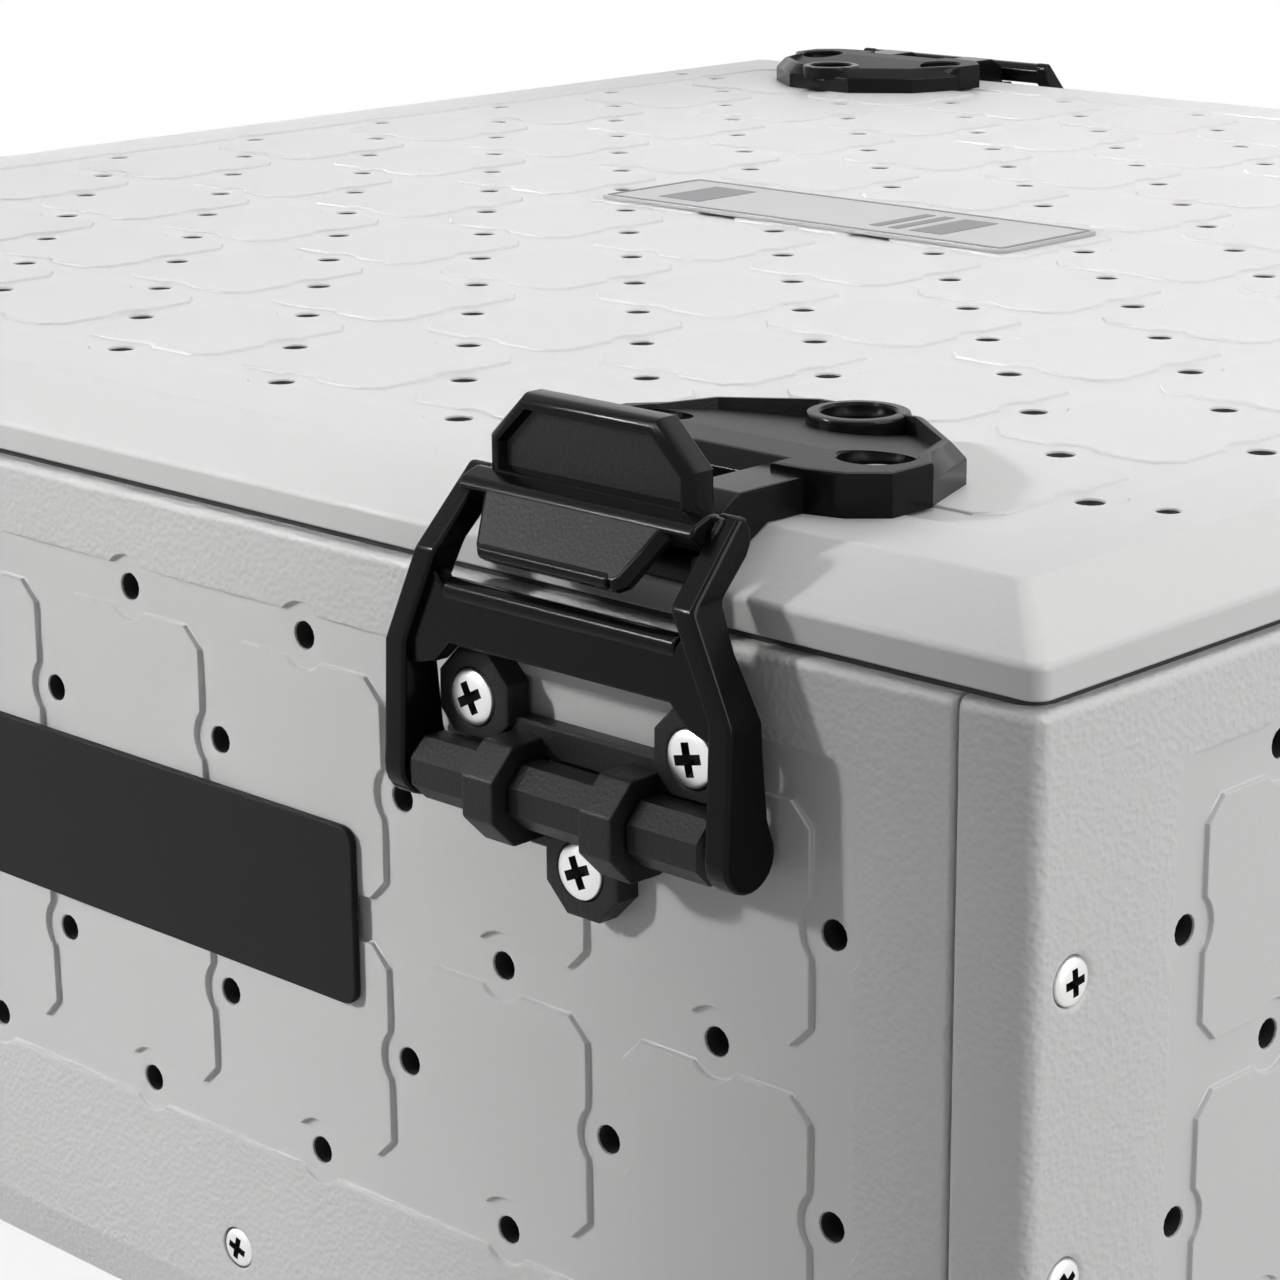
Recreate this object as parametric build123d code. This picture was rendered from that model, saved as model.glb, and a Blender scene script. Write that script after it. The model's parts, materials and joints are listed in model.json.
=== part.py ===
from build123d import *
import os

# Stackable storage box with a lift-off lid and four swing latches.
# Millimetres, +Z up, +Y to the rear. The origin is the middle of the footprint, on the ground.

# Lattice of panel tiles
pitch = 50.0                 # spacing of the tiles and of the holes along one line
tiles_x = 9                  # tile columns on the front, rear and lid
tiles_y = 9                  # tile columns on the ends and lid
tile_rows = 2                # tile rows on the upright panels
margin = 39.0                # from the outermost tile gutter to the corner of the box
gutter_width = 8.7           # width of the channels between tiles
gutter_depth = 1.0           # the tiles stand this far above the channels
tile_corner = 4.0            # chamfered corners of the tiles

# Case
bottom_row_height = 50.0     # height of the lowest tile gutter above the ground
top_border = 19.0            # from the uppermost tile gutter to the top edge of the panels
wall = 7.0                   # upright panels, behind the gutters
corner_radius = 3.0          # upright corners of the box
corner_wrap = 15.0           # end panels turn this far onto the front and rear faces
facet_width = 27.5           # shallow slope beside each upright corner
panel_gap = 0.6              # joint between front panel and end panel
post_width = 16.0            # screw posts at the ends of the front and rear panels
post_depth = 14.0
post_top = 40.0              # posts stop this far below the panel's top edge
corner_screw_inset = 9.5     # corner screws, in from the front or rear face
skirt_height = 11.0          # sloped foot of the upright panels
skirt_inset = 3.0
panel_top_bevel = 1.8
base_screw_height = 22.0     # screws through the panels into the floor's upstand
base_screw_columns = (3, 6)
base_head_sink = 2.0         # heads of those screws, below the panel's face

# Floor
floor_height = 14.0          # underside of the floor above the ground
floor_thickness = 4.0
upstand_height = 18.0
upstand_thickness = 6.0
rib_thickness = 3.0
rib_depth = 8.0
floor_rib_columns = (2, 4, 5, 7)

# Lid
seal_height = 1.5
seal_width = 4.0
seal_inset = 2.5             # seal, in from the outer face
lid_inset = 0.5              # rim, in from the gutter plane of the panels
rim_height = 5.0
lid_rise = 15.0              # lid's flat top above the panels' top edge
lid_gutter_depth = 0.6
plateau_inset = 15.0         # slope between rim and flat top, measured level
lid_wall = 4.5
tongue_depth = 12.0          # tongue that drops inside the case
tongue_wall = 3.0
tongue_clearance = 1.0
tongue_radius = 8.0
lid_rib_depth = 6.0
lid_rib_columns = (2, 7)
lid_rib_shift = 6.0          # ribs, beside the line of holes
lid_corner_radius = 5.0

# Plates
nameplate_length = 227.5
nameplate_height = 34.0
nameplate_thickness = 1.6
nameplate_radius = 5.0
badge_length = 131.0
badge_width = 37.5
badge_thickness = 1.0
badge_radius = 2.0

# Latches: y runs inward from the gutter plane, z upward from the uppermost gutter
latch_offset = 175.0         # latch centres from the middle of the box
pivot_y = -7.7
pivot_z = -13.0
hook_bar_y = -0.6
hook_bar_lift = 1.6          # hook bar above the lid's flat top
hook_bar_size = 6.0
pivot_bar_size = 11.0
journal_radius = 4.4
journal_clearance = 0.08
arm_thickness = 5.0
arm_end_radius = 6.0
frame_half_width = 39.5      # lower part of the swing frame
frame_neck_half_width = 31.0  # upper part of a front swing frame; the rear ones are straight
elbow_y = -12.6
elbow_drop = 9.3             # elbow below the hook bar
shoulder_z = 9.0             # the arms splay between the elbow and this height
arm_depth = 8.3
neck_depth = 4.8
web_face = 1.6               # web's face, back from the front edges of the arms
web_thickness = 3.4
web_drop = 6.9               # top of the web below the elbow
web_height = 9.1
web_ridge = 1.9
tab_half_width = 23.0
tab_top_half_width = 15.0
tab_shoulder = 9.9           # above the hook bar
tab_height = 17.4
tab_thickness = 6.0
tab_rim = 2.6
tab_recess = 1.6
flap_half_width = 21.3
flap_low_half_width = 16.5
flap_low_y = -13.6
flap_drop = 8.2              # lower edge below the hook bar
flap_thickness = 3.2
knuckle_size = 17.5
knuckle_width = 7.3
knuckle_offset = 13.5
knuckle_gap = 0.3
ear_size = 17.0
ear_thickness = 5.0
swing_clearance = 0.6

# Catch plates on the lid
catch_height = 7.6
catch_bevel = 2.2
catch_recess = 3.0
catch_rim = 4.6
socket_diameter = 13.3
socket_boss = 18.5
socket_depth = 4.4
catch_arm_inner = 11.4
catch_arm_outer = 22.4
catch_arm_top = 6.3
hook_play = 0.6              # below and behind the bar
hook_reach = 1.6             # floor of the hook past the middle of the bar
hook_front = 2.0

# Fasteners
screw_diameter = 5.0
screw_clearance = 0.2
thread_play = 0.05
head_diameter = 10.0
head_height = 2.2
head_sink = 1.4
small_head_diameter = 8.0
latch_screw_length = 16.0
catch_screw_length = 12.0
corner_screw_length = 20.0
base_screw_length = 12.0
head_sides = 12              # plain prisms stand in for the screws
shank_sides = 8              # and for the holes that their shanks fill

# Values worked out from those above
top_row_height = bottom_row_height + tile_rows * pitch
case_height = top_row_height + top_border
lid_top = case_height + lid_rise
deck = lid_top - top_row_height
half_x = tiles_x * pitch / 2 + margin
half_y = tiles_y * pitch / 2 + margin
hole_radius = (screw_diameter + screw_clearance) / 2
seam_x = half_x - corner_wrap
inner_x = half_x - wall
inner_y = half_y - wall
post_top_z = case_height - post_top
post_low = floor_height + upstand_height + 2
seal_base = case_height
rim_base = case_height + seal_height
rim_top = rim_base + rim_height
octagon = 1 / (1 + 2 ** 0.5)
hook_bar_z = deck + hook_bar_lift
elbow_z = hook_bar_z - elbow_drop
web_high = elbow_z - web_drop
web_low = web_high - web_height
tab_shoulder_z = hook_bar_z + tab_shoulder
tab_top_z = hook_bar_z + tab_height
flap_low_z = hook_bar_z - flap_drop


def columns(count):
    """Positions of the gutters across a face with so many tiles."""
    return [(k - count / 2) * pitch for k in range(count + 1)]


def rows():
    """Heights of the horizontal gutters on the upright panels."""
    return [top_row_height - k * pitch for k in range(tile_rows + 1)]


def face_of(points):
    """Closed flat outline through the given points."""
    return make_face(Polyline(*points, close=True))


def octagon_points(size, cx=0.0, cy=0.0):
    """Corners of a regular octagon, given its size across flats."""
    a = size / 2
    b = a * octagon
    ring = [(a, -b), (a, b), (b, a), (-b, a), (-a, b), (-a, -b), (-b, -a), (b, -a)]
    return [(cx + x, cy + y) for x, y in ring]


def mirrored(half):
    """Outline symmetrical about x = 0 from the points of its right half."""
    return list(half) + [(-x, y) for x, y in reversed(half)]


def along_x(points, x0, x1):
    """Prism whose outline lies in the y-z plane, from x0 to x1."""
    return extrude(Plane.YZ.offset(x0) * face_of(points), x1 - x0)


def along_y(points, y0, y1):
    """Prism whose outline lies in the x-z plane, from y0 to y1."""
    return extrude(Plane(origin=(0, y0, 0), x_dir=(1, 0, 0), z_dir=(0, -1, 0)) * face_of(points), y0 - y1)


def rod(radius, start, end, sides=None):
    """Bar between two points, round unless a number of sides is given."""
    a, b = Vector(*start), Vector(*end)
    section = RegularPolygon(radius, sides) if sides else Circle(radius)
    return extrude(Plane(origin=a, z_dir=b - a) * section, (b - a).length)


def block(x0, x1, y0, y1, z0, z1):
    return Pos((x0 + x1) / 2, (y0 + y1) / 2, (z0 + z1) / 2) * Box(x1 - x0, y1 - y0, z1 - z0)


def joined(shapes):
    """Fuse several shapes into one."""
    first, *rest = shapes
    return first + rest if rest else first


def tile_gutters(count_u, count_v, height):
    """Sunk channels round a field of tiles, as one flat solid centred on the origin."""
    size_u = count_u * pitch + gutter_width
    size_v = count_v * pitch + gutter_width
    field = chamfer(Rectangle(size_u, size_v).vertices(), tile_corner)
    side = pitch - gutter_width
    tile = chamfer(Rectangle(side, side).vertices(), tile_corner)
    tiles = [
        Pos((u + 0.5 - count_u / 2) * pitch, (v + 0.5 - count_v / 2) * pitch) * tile
        for u in range(count_u)
        for v in range(count_v)
    ]
    return extrude(field - tiles, height)


# Case: one envelope gives the outside of all four upright panels
def case_envelope():
    """Solid block with the outside of the case: faceted corners, rounded top edge, sloped foot."""
    out_x = half_x + gutter_depth
    out_y = half_y + gutter_depth
    flat_x = half_x - facet_width
    flat_y = half_y - facet_width
    quarter = [(out_x, flat_y), (half_x, half_y), (flat_x, out_y)]
    outline = quarter + [(-x, y) for x, y in reversed(quarter)]
    outline += [(-x, -y) for x, y in quarter] + [(x, -y) for x, y in reversed(quarter)]
    plan = face_of(outline)
    plan = fillet([v for v in plan.vertices() if abs(abs(v.X) - half_x) < 0.01], corner_radius)
    body = extrude(Pos(0, 0, skirt_height) * plan, case_height - skirt_height)
    body = chamfer(body.faces().sort_by(Axis.Z)[-1].edges(), panel_top_bevel)
    ground = offset(plan, -skirt_inset, kind=Kind.INTERSECTION)
    foot = loft([ground, Pos(0, 0, skirt_height) * plan], ruled=True)
    return body + foot


def panel_gutters(half, count):
    """Gutter cutter standing on the outer face of a panel at y = -half."""
    middle = top_row_height - tile_rows * pitch / 2
    where = Plane(origin=(0, -half, middle), x_dir=(1, 0, 0), z_dir=(0, -1, 0))
    return where * tile_gutters(count, tile_rows, gutter_depth + 1)


def panel_hole(half, x, z, sides=None):
    """Cutter for a hole straight through a panel at y = -half."""
    return rod(hole_radius, (x, -half - 5, z), (x, -half + wall + 1, z), sides)


def head_recess(half, x, z):
    """Cutter for the sunk head of a floor screw in a panel at y = -half."""
    return rod(small_head_diameter / 2 + screw_clearance, (x, -half - 5, z),
               (x, -half - gutter_depth + base_head_sink, z))


def panel_cuts(half, count, screwed):
    """Bolt holes, screw holes and head recesses of one panel at y = -half."""
    cuts = [panel_hole(half, x, z) for x, z in accessory_spots()]
    cuts += [panel_hole(half, x, z, shank_sides) for x, z in screwed + base_spots(count)]
    return cuts + [head_recess(half, x, z) for x, z in base_spots(count)]


def accessory_spots():
    """Lattice holes that take a bolt-on accessory, two over two, as (along, height)."""
    return [(side * pitch, z) for side in (-1, 1) for z in (rows()[0], rows()[-1])]


def latch_spots():
    """Screws of both latch bases on one panel, as (along, height)."""
    sides = (-latch_offset, latch_offset)
    return [(side + x, top_row_height + z) for side in sides for x, z in latch_screws]


def base_spots(count):
    """Screws through one panel into the floor's upstand, as (along, height)."""
    return [(columns(count)[k], base_screw_height) for k in base_screw_columns]


def corner_rods(radius, start, end, sides=None):
    """Rods along x at the corner screws of the right end panel."""
    y = half_y - corner_screw_inset
    return [
        rod(radius, (start, side * y, z), (end, side * y, z), sides)
        for side in (-1, 1)
        for z in corner_heights
    ]


latch_screws = [(-pitch / 2, 0.0), (pitch / 2, 0.0), (0.0, -pitch / 2)]
corner_heights = [top_row_height - (k + 0.5) * pitch for k in range(tile_rows)]
envelope = case_envelope()


def front_panel():
    """Long panel with its tile field, latch and floor screws, and a screw post at each end."""
    end = seam_x - panel_gap
    body = envelope & block(-end, end, -half_y - 5, -inner_y, 0, case_height)
    back = -inner_y
    side = inner_x - panel_gap
    post = block(end - post_width, side, back + panel_gap, back + post_depth, post_low, post_top_z)
    post += block(end - post_width, end, back - 0.5, back + panel_gap, post_low, post_top_z)
    body = joined([body, post, mirror(post, Plane.YZ)]) - panel_gutters(half_y, tiles_x)
    body -= panel_cuts(half_y, tiles_x, latch_spots())
    bores = corner_rods(screw_diameter / 2, half_x - corner_screw_length, half_x, shank_sides)
    return body - bores - [mirror(bore, Plane.YZ) for bore in bores]


def end_panel():
    """Right end panel: its tile field, wrapped onto the front and rear faces."""
    shell = block(0, half_x + 5, -half_y - 5, half_y + 5, 0, case_height)
    shell -= block(0, inner_x, -inner_y, inner_y, 0, case_height)
    shell -= block(0, seam_x, -half_y - 5, half_y + 5, 0, case_height)
    body = envelope & (shell + block(inner_x, half_x + 5, -inner_y, inner_y, 0, case_height))
    body -= Rot(0, 0, 90) * panel_gutters(half_x, tiles_y)
    body -= [Rot(0, 0, 90) * cut for cut in panel_cuts(half_x, tiles_y, [])]
    body -= corner_rods(small_head_diameter / 2 + screw_clearance, half_x - head_sink, half_x + 5)
    return body - corner_rods(hole_radius, inner_x - 1, half_x + 5, shank_sides)


def floor_panel():
    """Floor tray with an upstand that the panels are screwed to, and ribs beneath."""
    x, y = inner_x, inner_y
    top = floor_height + upstand_height
    body = block(-x, x, -y, y, floor_height, top)
    body -= block(-x + upstand_thickness, x - upstand_thickness, -y + upstand_thickness,
                  y - upstand_thickness, floor_height + floor_thickness, top + 1)
    t = rib_thickness / 2
    low = floor_height - rib_depth
    for k in floor_rib_columns:
        body += block(columns(tiles_x)[k] - t, columns(tiles_x)[k] + t, -y, y, low, floor_height)
        body += block(-x, x, columns(tiles_y)[k] - t, columns(tiles_y)[k] + t, low, floor_height)
    radius = screw_diameter / 2
    deep = upstand_thickness + 1
    pilots = [rod(radius, (u, -y - 1, z), (u, -y + deep, z), shank_sides) for u, z in base_spots(tiles_x)]
    pilots += [rod(radius, (x - deep, v, z), (x + 1, v, z), shank_sides) for v, z in base_spots(tiles_y)]
    return body - pilots - [Rot(0, 0, 180) * pilot for pilot in pilots]


def screw(length, head=head_diameter, height=head_height):
    """Screw along +z from the underside of its head, head towards -z."""
    shank = screw_diameter / 2 - thread_play
    top = rod(head / 2, (0, 0, -height), (0, 0, 0), head_sides)
    return top + rod(shank, (0, 0, -0.1), (0, 0, length), shank_sides)


def screws_at(places, normal, length, head=head_diameter, height=head_height):
    """Group of separate screws driven along a direction, heads seated at the given points."""
    one = screw(length, head, height)
    return Compound([Plane(origin=p, z_dir=normal) * one for p in places])


# Lid
def lid_block(grow, low, high_rim, top, slope):
    """Outside form of the lid, shrunk inwards by a wall."""
    x = half_x - lid_inset - grow
    y = half_y - lid_inset - grow
    radius = max(lid_corner_radius - grow, 1)
    rim = RectangleRounded(2 * x, 2 * y, radius)
    base = extrude(Pos(0, 0, low) * rim, high_rim - low)
    flat = RectangleRounded(2 * (x - slope), 2 * (y - slope), radius)
    upper = loft([Pos(0, 0, high_rim) * rim, Pos(0, 0, top) * flat], ruled=True)
    return base + upper


def lid_spots():
    """Lattice holes on the lid for a bolt-on accessory: two by two round the middle."""
    return [(sx * 2 * pitch, sy * 2.5 * pitch) for sx in (-1, 1) for sy in (-1, 1)]


def catch_spots():
    """Screws of the four catch plates, as (x, y)."""
    spots = []
    for side in (-latch_offset, latch_offset):
        for x, y in catch_screws:
            spots.append((side + x, -half_y + y))
            spots.append((side + x, half_y - y))
    return spots


catch_screws = [(-pitch / 2, margin), (pitch / 2, margin), (0.0, margin + pitch / 2)]


def lid_shell():
    """Lid: sloped rim, tiled flat top, tongue inside the case and ribs under the top."""
    slope = plateau_inset
    body = lid_block(0, rim_base, rim_top, lid_top, slope)
    body -= lid_block(lid_wall, rim_base - 1, rim_top - 2, lid_top - lid_wall, slope)
    x = inner_x - tongue_clearance
    y = inner_y - tongue_clearance
    reach = rim_base - tongue_depth
    outer = RectangleRounded(2 * x, 2 * y, tongue_radius)
    inner = RectangleRounded(2 * (x - tongue_wall), 2 * (y - tongue_wall), tongue_radius - tongue_wall / 2)
    body += Pos(0, 0, reach) * extrude(outer - inner, rim_top - reach)
    t = rib_thickness / 2
    ceiling = lid_top - lid_wall
    low = ceiling - lid_rib_depth
    for k in lid_rib_columns:
        u = columns(tiles_x)[k] + lid_rib_shift
        v = columns(tiles_y)[k] + lid_rib_shift
        body += block(u - t, u + t, -y + 1, y - 1, low, ceiling + 1)
        body += block(-x + 1, x - 1, v - t, v + t, low, ceiling + 1)
    body -= Pos(0, 0, lid_top - lid_gutter_depth) * tile_gutters(tiles_x, tiles_y, gutter_depth + 1)
    body -= [rod(hole_radius, (u, v, ceiling - 1), (u, v, lid_top + 1)) for u, v in lid_spots()]
    for u, v in catch_spots():
        body -= rod(hole_radius, (u, v, low - 1), (u, v, lid_top + 1), shank_sides)
    return body


def lid_seal():
    """Flat rubber ring under the lid's rim, lying on the panels' top edges."""
    x = half_x - seal_inset
    y = half_y - seal_inset
    outer = RectangleRounded(2 * x, 2 * y, lid_corner_radius)
    inner = RectangleRounded(2 * (x - seal_width), 2 * (y - seal_width), lid_corner_radius - seal_width)
    return Pos(0, 0, seal_base) * extrude(outer - inner, seal_height)


# Latches, in their own frame: x along the panel, y inward from the gutter plane,
# z upward from the uppermost gutter
def arm_side():
    """Side view of the swing frame's arms: elbow outward, then back over the lid."""
    neck_y, neck_z = hook_bar_y, hook_bar_z
    lower = [
        (elbow_y, elbow_z),
        (elbow_y, pivot_z),
        (elbow_y + arm_depth, pivot_z),
        (elbow_y + arm_depth - 1.4, elbow_z - 7),
        (elbow_y + neck_depth * 2 ** 0.5 + 0.4, elbow_z + 0.4),
    ]
    reach = neck_depth / 2 * 2 ** 0.5
    neck = [
        (elbow_y, elbow_z),
        (neck_y - reach / 2 - 0.3, neck_z + reach / 2 + 1.4),
        (neck_y + reach / 2 + 0.6, neck_z - reach / 2 - 0.6),
        (elbow_y + 2 * reach + 0.4, elbow_z + 0.4),
        (elbow_y + 2 * reach - 1.0, elbow_z - 3),
    ]
    outline = face_of(lower) + face_of(neck) + Pos(neck_y, neck_z) * Circle(neck_depth / 2 + 0.9)
    return outline + Pos(pivot_y, pivot_z) * Circle(arm_end_radius)


def frame_front(neck, inset, low, high):
    """Front view of the swing frame's outline up to its neck, moved inwards by an inset."""
    elbow = min(neck + 0.6, frame_half_width)
    half = [
        (frame_half_width - inset, low),
        (frame_half_width - inset, shoulder_z),
        (elbow - inset, elbow_z),
        (neck - inset, high),
    ]
    return mirrored(half)


def arms(neck):
    """Both side arms: the side view cut by the front view."""
    low = pivot_z - arm_end_radius - 1
    high = hook_bar_z + neck_depth
    side = extrude(Plane.YZ.offset(-frame_half_width) * arm_side(), 2 * frame_half_width)
    front = along_y(frame_front(neck, 0, low, high), elbow_y - 10, hook_bar_y + 10)
    hollow = along_y(frame_front(neck, arm_thickness, low - 1, high + 1), elbow_y - 11, hook_bar_y + 11)
    return (side & front) - hollow


def bar(size, y, z, x0, x1):
    """Octagonal bar along x."""
    return along_x(octagon_points(size, y, z), x0, x1)


def pivot_bar():
    """Bottom bar: octagonal lengths with round journals where the knuckles hold it."""
    inside = frame_half_width - 0.5
    k0 = knuckle_offset - knuckle_width / 2 - knuckle_gap
    k1 = knuckle_offset + knuckle_width / 2 + knuckle_gap
    parts = [rod(journal_radius, (-inside, pivot_y, pivot_z), (inside, pivot_y, pivot_z))]
    for x0, x1 in ((-inside, -k1), (-k0, k0), (k1, inside)):
        parts.append(bar(pivot_bar_size, pivot_y, pivot_z, x0, x1))
    return joined(parts)


def web(neck):
    """Cross web between the arms: flat face, chamfered lower corners and a rounded upper ridge."""
    y0 = elbow_y + web_face
    inside = neck - 1
    half = [
        (inside - 6, web_low),
        (inside - 1, web_low - 3.7),
        (frame_half_width - 1, web_low - 6),
        (frame_half_width - 1, shoulder_z),
        (inside, web_high + 3),
        (inside - 3, web_high),
    ]
    plate = along_y(mirrored(half), y0, y0 + web_thickness)
    ridge = rod(web_ridge, (-inside, y0 + web_ridge, web_high), (inside, y0 + web_ridge, web_high))
    return plate + ridge


def thumb_tab():
    """Upright trapezoid tab over the hook bar, with a raised rim round a sunk face."""
    z0 = hook_bar_z + 1.2
    y0 = hook_bar_y - tab_thickness / 2 + 0.3
    half = [(tab_half_width, z0), (tab_half_width, tab_shoulder_z), (tab_top_half_width, tab_top_z)]
    plate = along_y(mirrored(half), y0, y0 + tab_thickness)
    plate = chamfer(plate.faces().sort_by(Axis.Z)[-1].edges().filter_by(Axis.X), 1.2)
    sunk = [
        (tab_half_width - tab_rim, z0 + 3.2),
        (tab_half_width - tab_rim, tab_shoulder_z - 1),
        (tab_top_half_width - 1.2, tab_top_z - tab_rim),
    ]
    return plate - along_y(mirrored(sunk), y0 - 1, y0 + tab_recess)


def grip_flap():
    """Sloping flap below the tab, narrower at its thick lower edge."""
    y0 = hook_bar_y - tab_thickness / 2 + 0.3
    z0 = hook_bar_z + 3.3
    side = [
        (y0 + 2, z0),
        (y0 - 0.4, z0),
        (y0 - 3.4, z0 - 1.5),
        (flap_low_y, flap_low_z + 1.5),
        (flap_low_y + 0.6, flap_low_z),
        (flap_low_y + flap_thickness, flap_low_z + 0.4),
        (y0 - 0.6, hook_bar_z - 2.2),
        (y0 + 2, hook_bar_z - 1),
    ]
    body = along_x(side, -flap_half_width, flap_half_width)
    front = [(flap_low_half_width - 1.2, flap_low_z - 1), (flap_low_half_width + 0.8, flap_low_z + 1.5),
             (flap_half_width, z0 - 1.5), (flap_half_width, z0 + 1)]
    return body & along_y(mirrored(front), flap_low_y - 2, hook_bar_y + 4)


def swing_frame(neck):
    """Arms, pivot bar, web and hook bar of a frame, in one piece."""
    inside = neck - 1
    hook_bar = bar(hook_bar_size, hook_bar_y, hook_bar_z, -inside, inside)
    return joined([arms(neck), pivot_bar(), web(neck), hook_bar])


def latch_frame():
    """Front frame: necked above the elbow, with a thumb tab and a grip flap on its hook bar."""
    return joined([swing_frame(frame_neck_half_width), thumb_tab(), grip_flap()])


def rear_frame():
    """Rear frame: straight arms and a bare hook bar, low behind the lid, so that the lid can tip back."""
    return swing_frame(frame_half_width)


def latch_base():
    """Base screwed to the panel: three screw ears and two knuckles open towards the panel."""
    back = -gutter_depth
    face = back - ear_thickness
    ears = [along_y(octagon_points(ear_size, x, z), face, back) for x, z in latch_screws]
    ear_x = pitch / 2
    bridge = [block(-ear_x, ear_x, back - 3.5, back, pivot_z + 4.5, pivot_z + 11)]
    bridge.append(block(-knuckle_offset, knuckle_offset, back - 3.5, back, pivot_z - 10.5, pivot_z - 4.5))
    body = joined(ears + bridge)
    far = frame_half_width + 10
    start, end = (-far, pivot_y, pivot_z), (far, pivot_y, pivot_z)
    body -= rod(pivot_bar_size / 2 + swing_clearance + 0.45, start, end)
    size = knuckle_size
    reach = block(-far, far, pivot_y - size, back, pivot_z - size, pivot_z + size)
    for side in (-1, 1):
        x = side * knuckle_offset
        knuckle = bar(size, pivot_y, pivot_z, x - knuckle_width / 2, x + knuckle_width / 2)
        body += knuckle & reach
    bore = journal_radius + journal_clearance
    body -= rod(bore, start, end)
    body -= block(-far, far, pivot_y, back + 1, pivot_z - bore, pivot_z + bore)
    for x, z in latch_screws:
        body -= rod(hole_radius, (x, face - 1, z), (x, back + 1, z), shank_sides)
        body -= rod(head_diameter / 2 + screw_clearance, (x, face - 1, z), (x, face + head_sink, z))
    return body


# Catch plates, in the same frame as the latches; the lid's flat top is at deck
def catch_outline():
    """Plan of a catch plate, from its front corners to the narrower rear edge."""
    boss = socket_boss / 2
    front = margin - boss - 6
    half = [
        (catch_arm_outer, front),
        (pitch / 2 + boss - 4, front + 2.2),
        (pitch / 2 + boss + 1, front + 7.5),
        (pitch / 2 + boss + 1, margin + 2),
        (pitch / 2 + 4.5, margin + pitch / 2 - 6.5),
        (boss, margin + pitch / 2 + 6.5),
    ]
    return face_of([(x, y) for x, y in half] + [(-x, y) for x, y in reversed(half)])


def hook_arm():
    """Side view of a catch arm: along the lid, over its edge and round under the hook bar."""
    r = hook_bar_size / 2 + hook_play
    top = deck + catch_arm_top
    low = hook_bar_z - r
    rim_y = lid_inset
    rim_z = rim_top - top_row_height
    on_slope = 0.2
    return [
        (margin - 6, deck),
        (margin - 6, top),
        (hook_bar_y + 9, top),
        (hook_bar_y + 5.6, top - 1.8),
        (hook_bar_y + r, hook_bar_z + 1.2),
        (hook_bar_y + r, low + 0.9),
        (hook_bar_y + r - 0.9, low),
        (hook_bar_y - hook_reach, low),
        (hook_bar_y - hook_front, low - 0.8),
        (hook_bar_y - hook_front, rim_z + 1.8),
        (rim_y, rim_z + on_slope + 0.1),
        (rim_y + plateau_inset, deck + on_slope),
        (rim_y + plateau_inset + 3, deck),
    ]


def catch_plate():
    """Catch on the lid: bevelled plate with a raised rim, three screw sockets and two hook arms."""
    top = deck + catch_height
    plate = Pos(0, 0, deck) * extrude(catch_outline(), catch_height)
    plate = chamfer(plate.faces().sort_by(Axis.Z)[-1].edges(), catch_bevel)
    sunk = Pos(0, 0, top - catch_recess) * extrude(offset(catch_outline(), -catch_rim), catch_recess + 1)
    low = top - catch_recess - 0.5
    bosses = [rod(socket_boss / 2, (x, y, low), (x, y, top), 2 * shank_sides) for x, y in catch_screws]
    body = joined([plate - sunk] + bosses)
    for side in (-1, 1):
        x0, x1 = sorted((side * catch_arm_inner, side * catch_arm_outer))
        body += along_x(hook_arm(), x0, x1)
    for x, y in catch_screws:
        body -= rod(socket_diameter / 2, (x, y, top - socket_depth), (x, y, top + 1))
        body -= rod(hole_radius, (x, y, deck - 1), (x, y, top), shank_sides)
    return body


# Plates on the front and the lid
def nameplate():
    middle = top_row_height - tile_rows * pitch / 2
    outline = RectangleRounded(nameplate_length, nameplate_height, nameplate_radius)
    plate = extrude(outline, nameplate_thickness)
    return Plane(origin=(0, -half_y - gutter_depth, middle), x_dir=(1, 0, 0), z_dir=(0, -1, 0)) * plate


def lid_badge():
    plate = extrude(RectangleRounded(badge_length, badge_width, badge_radius), badge_thickness)
    return Pos(0, 0, lid_top) * plate


# The assembly: the rear and the left are the front and the right turned half round
parts = {}
half_turn = Rot(0, 0, 180)
front = front_panel()
parts["front_panel"] = front
parts["rear_panel"] = half_turn * front
right_end = end_panel()
parts["right_end_panel"] = right_end
parts["left_end_panel"] = half_turn * right_end
parts["floor_panel"] = floor_panel()
parts["lid_shell"] = lid_shell()
parts["lid_seal"] = lid_seal()
parts["front_nameplate"] = nameplate()
parts["lid_badge_plate"] = lid_badge()

heads_x = half_x - head_sink
heads_y = half_y - corner_screw_inset
corner_points = [(heads_x, side * heads_y, z) for side in (-1, 1) for z in corner_heights]
right_screws = screws_at(corner_points, (-1, 0, 0), corner_screw_length - head_sink, small_head_diameter)
parts["right_corner_screws"] = right_screws
parts["left_corner_screws"] = half_turn * right_screws

panel_face_y = -half_y - gutter_depth + base_head_sink
panel_face_x = half_x + gutter_depth - base_head_sink
floor_points = [(u, panel_face_y, z) for u, z in base_spots(tiles_x)]
floor_front = screws_at(floor_points, (0, 1, 0), base_screw_length, small_head_diameter)
parts["front_floor_screws"] = floor_front
parts["rear_floor_screws"] = half_turn * floor_front
floor_points = [(panel_face_x, v, z) for v, z in base_spots(tiles_y)]
floor_right = screws_at(floor_points, (-1, 0, 0), base_screw_length, small_head_diameter)
parts["right_floor_screws"] = floor_right
parts["left_floor_screws"] = half_turn * floor_right

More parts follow.
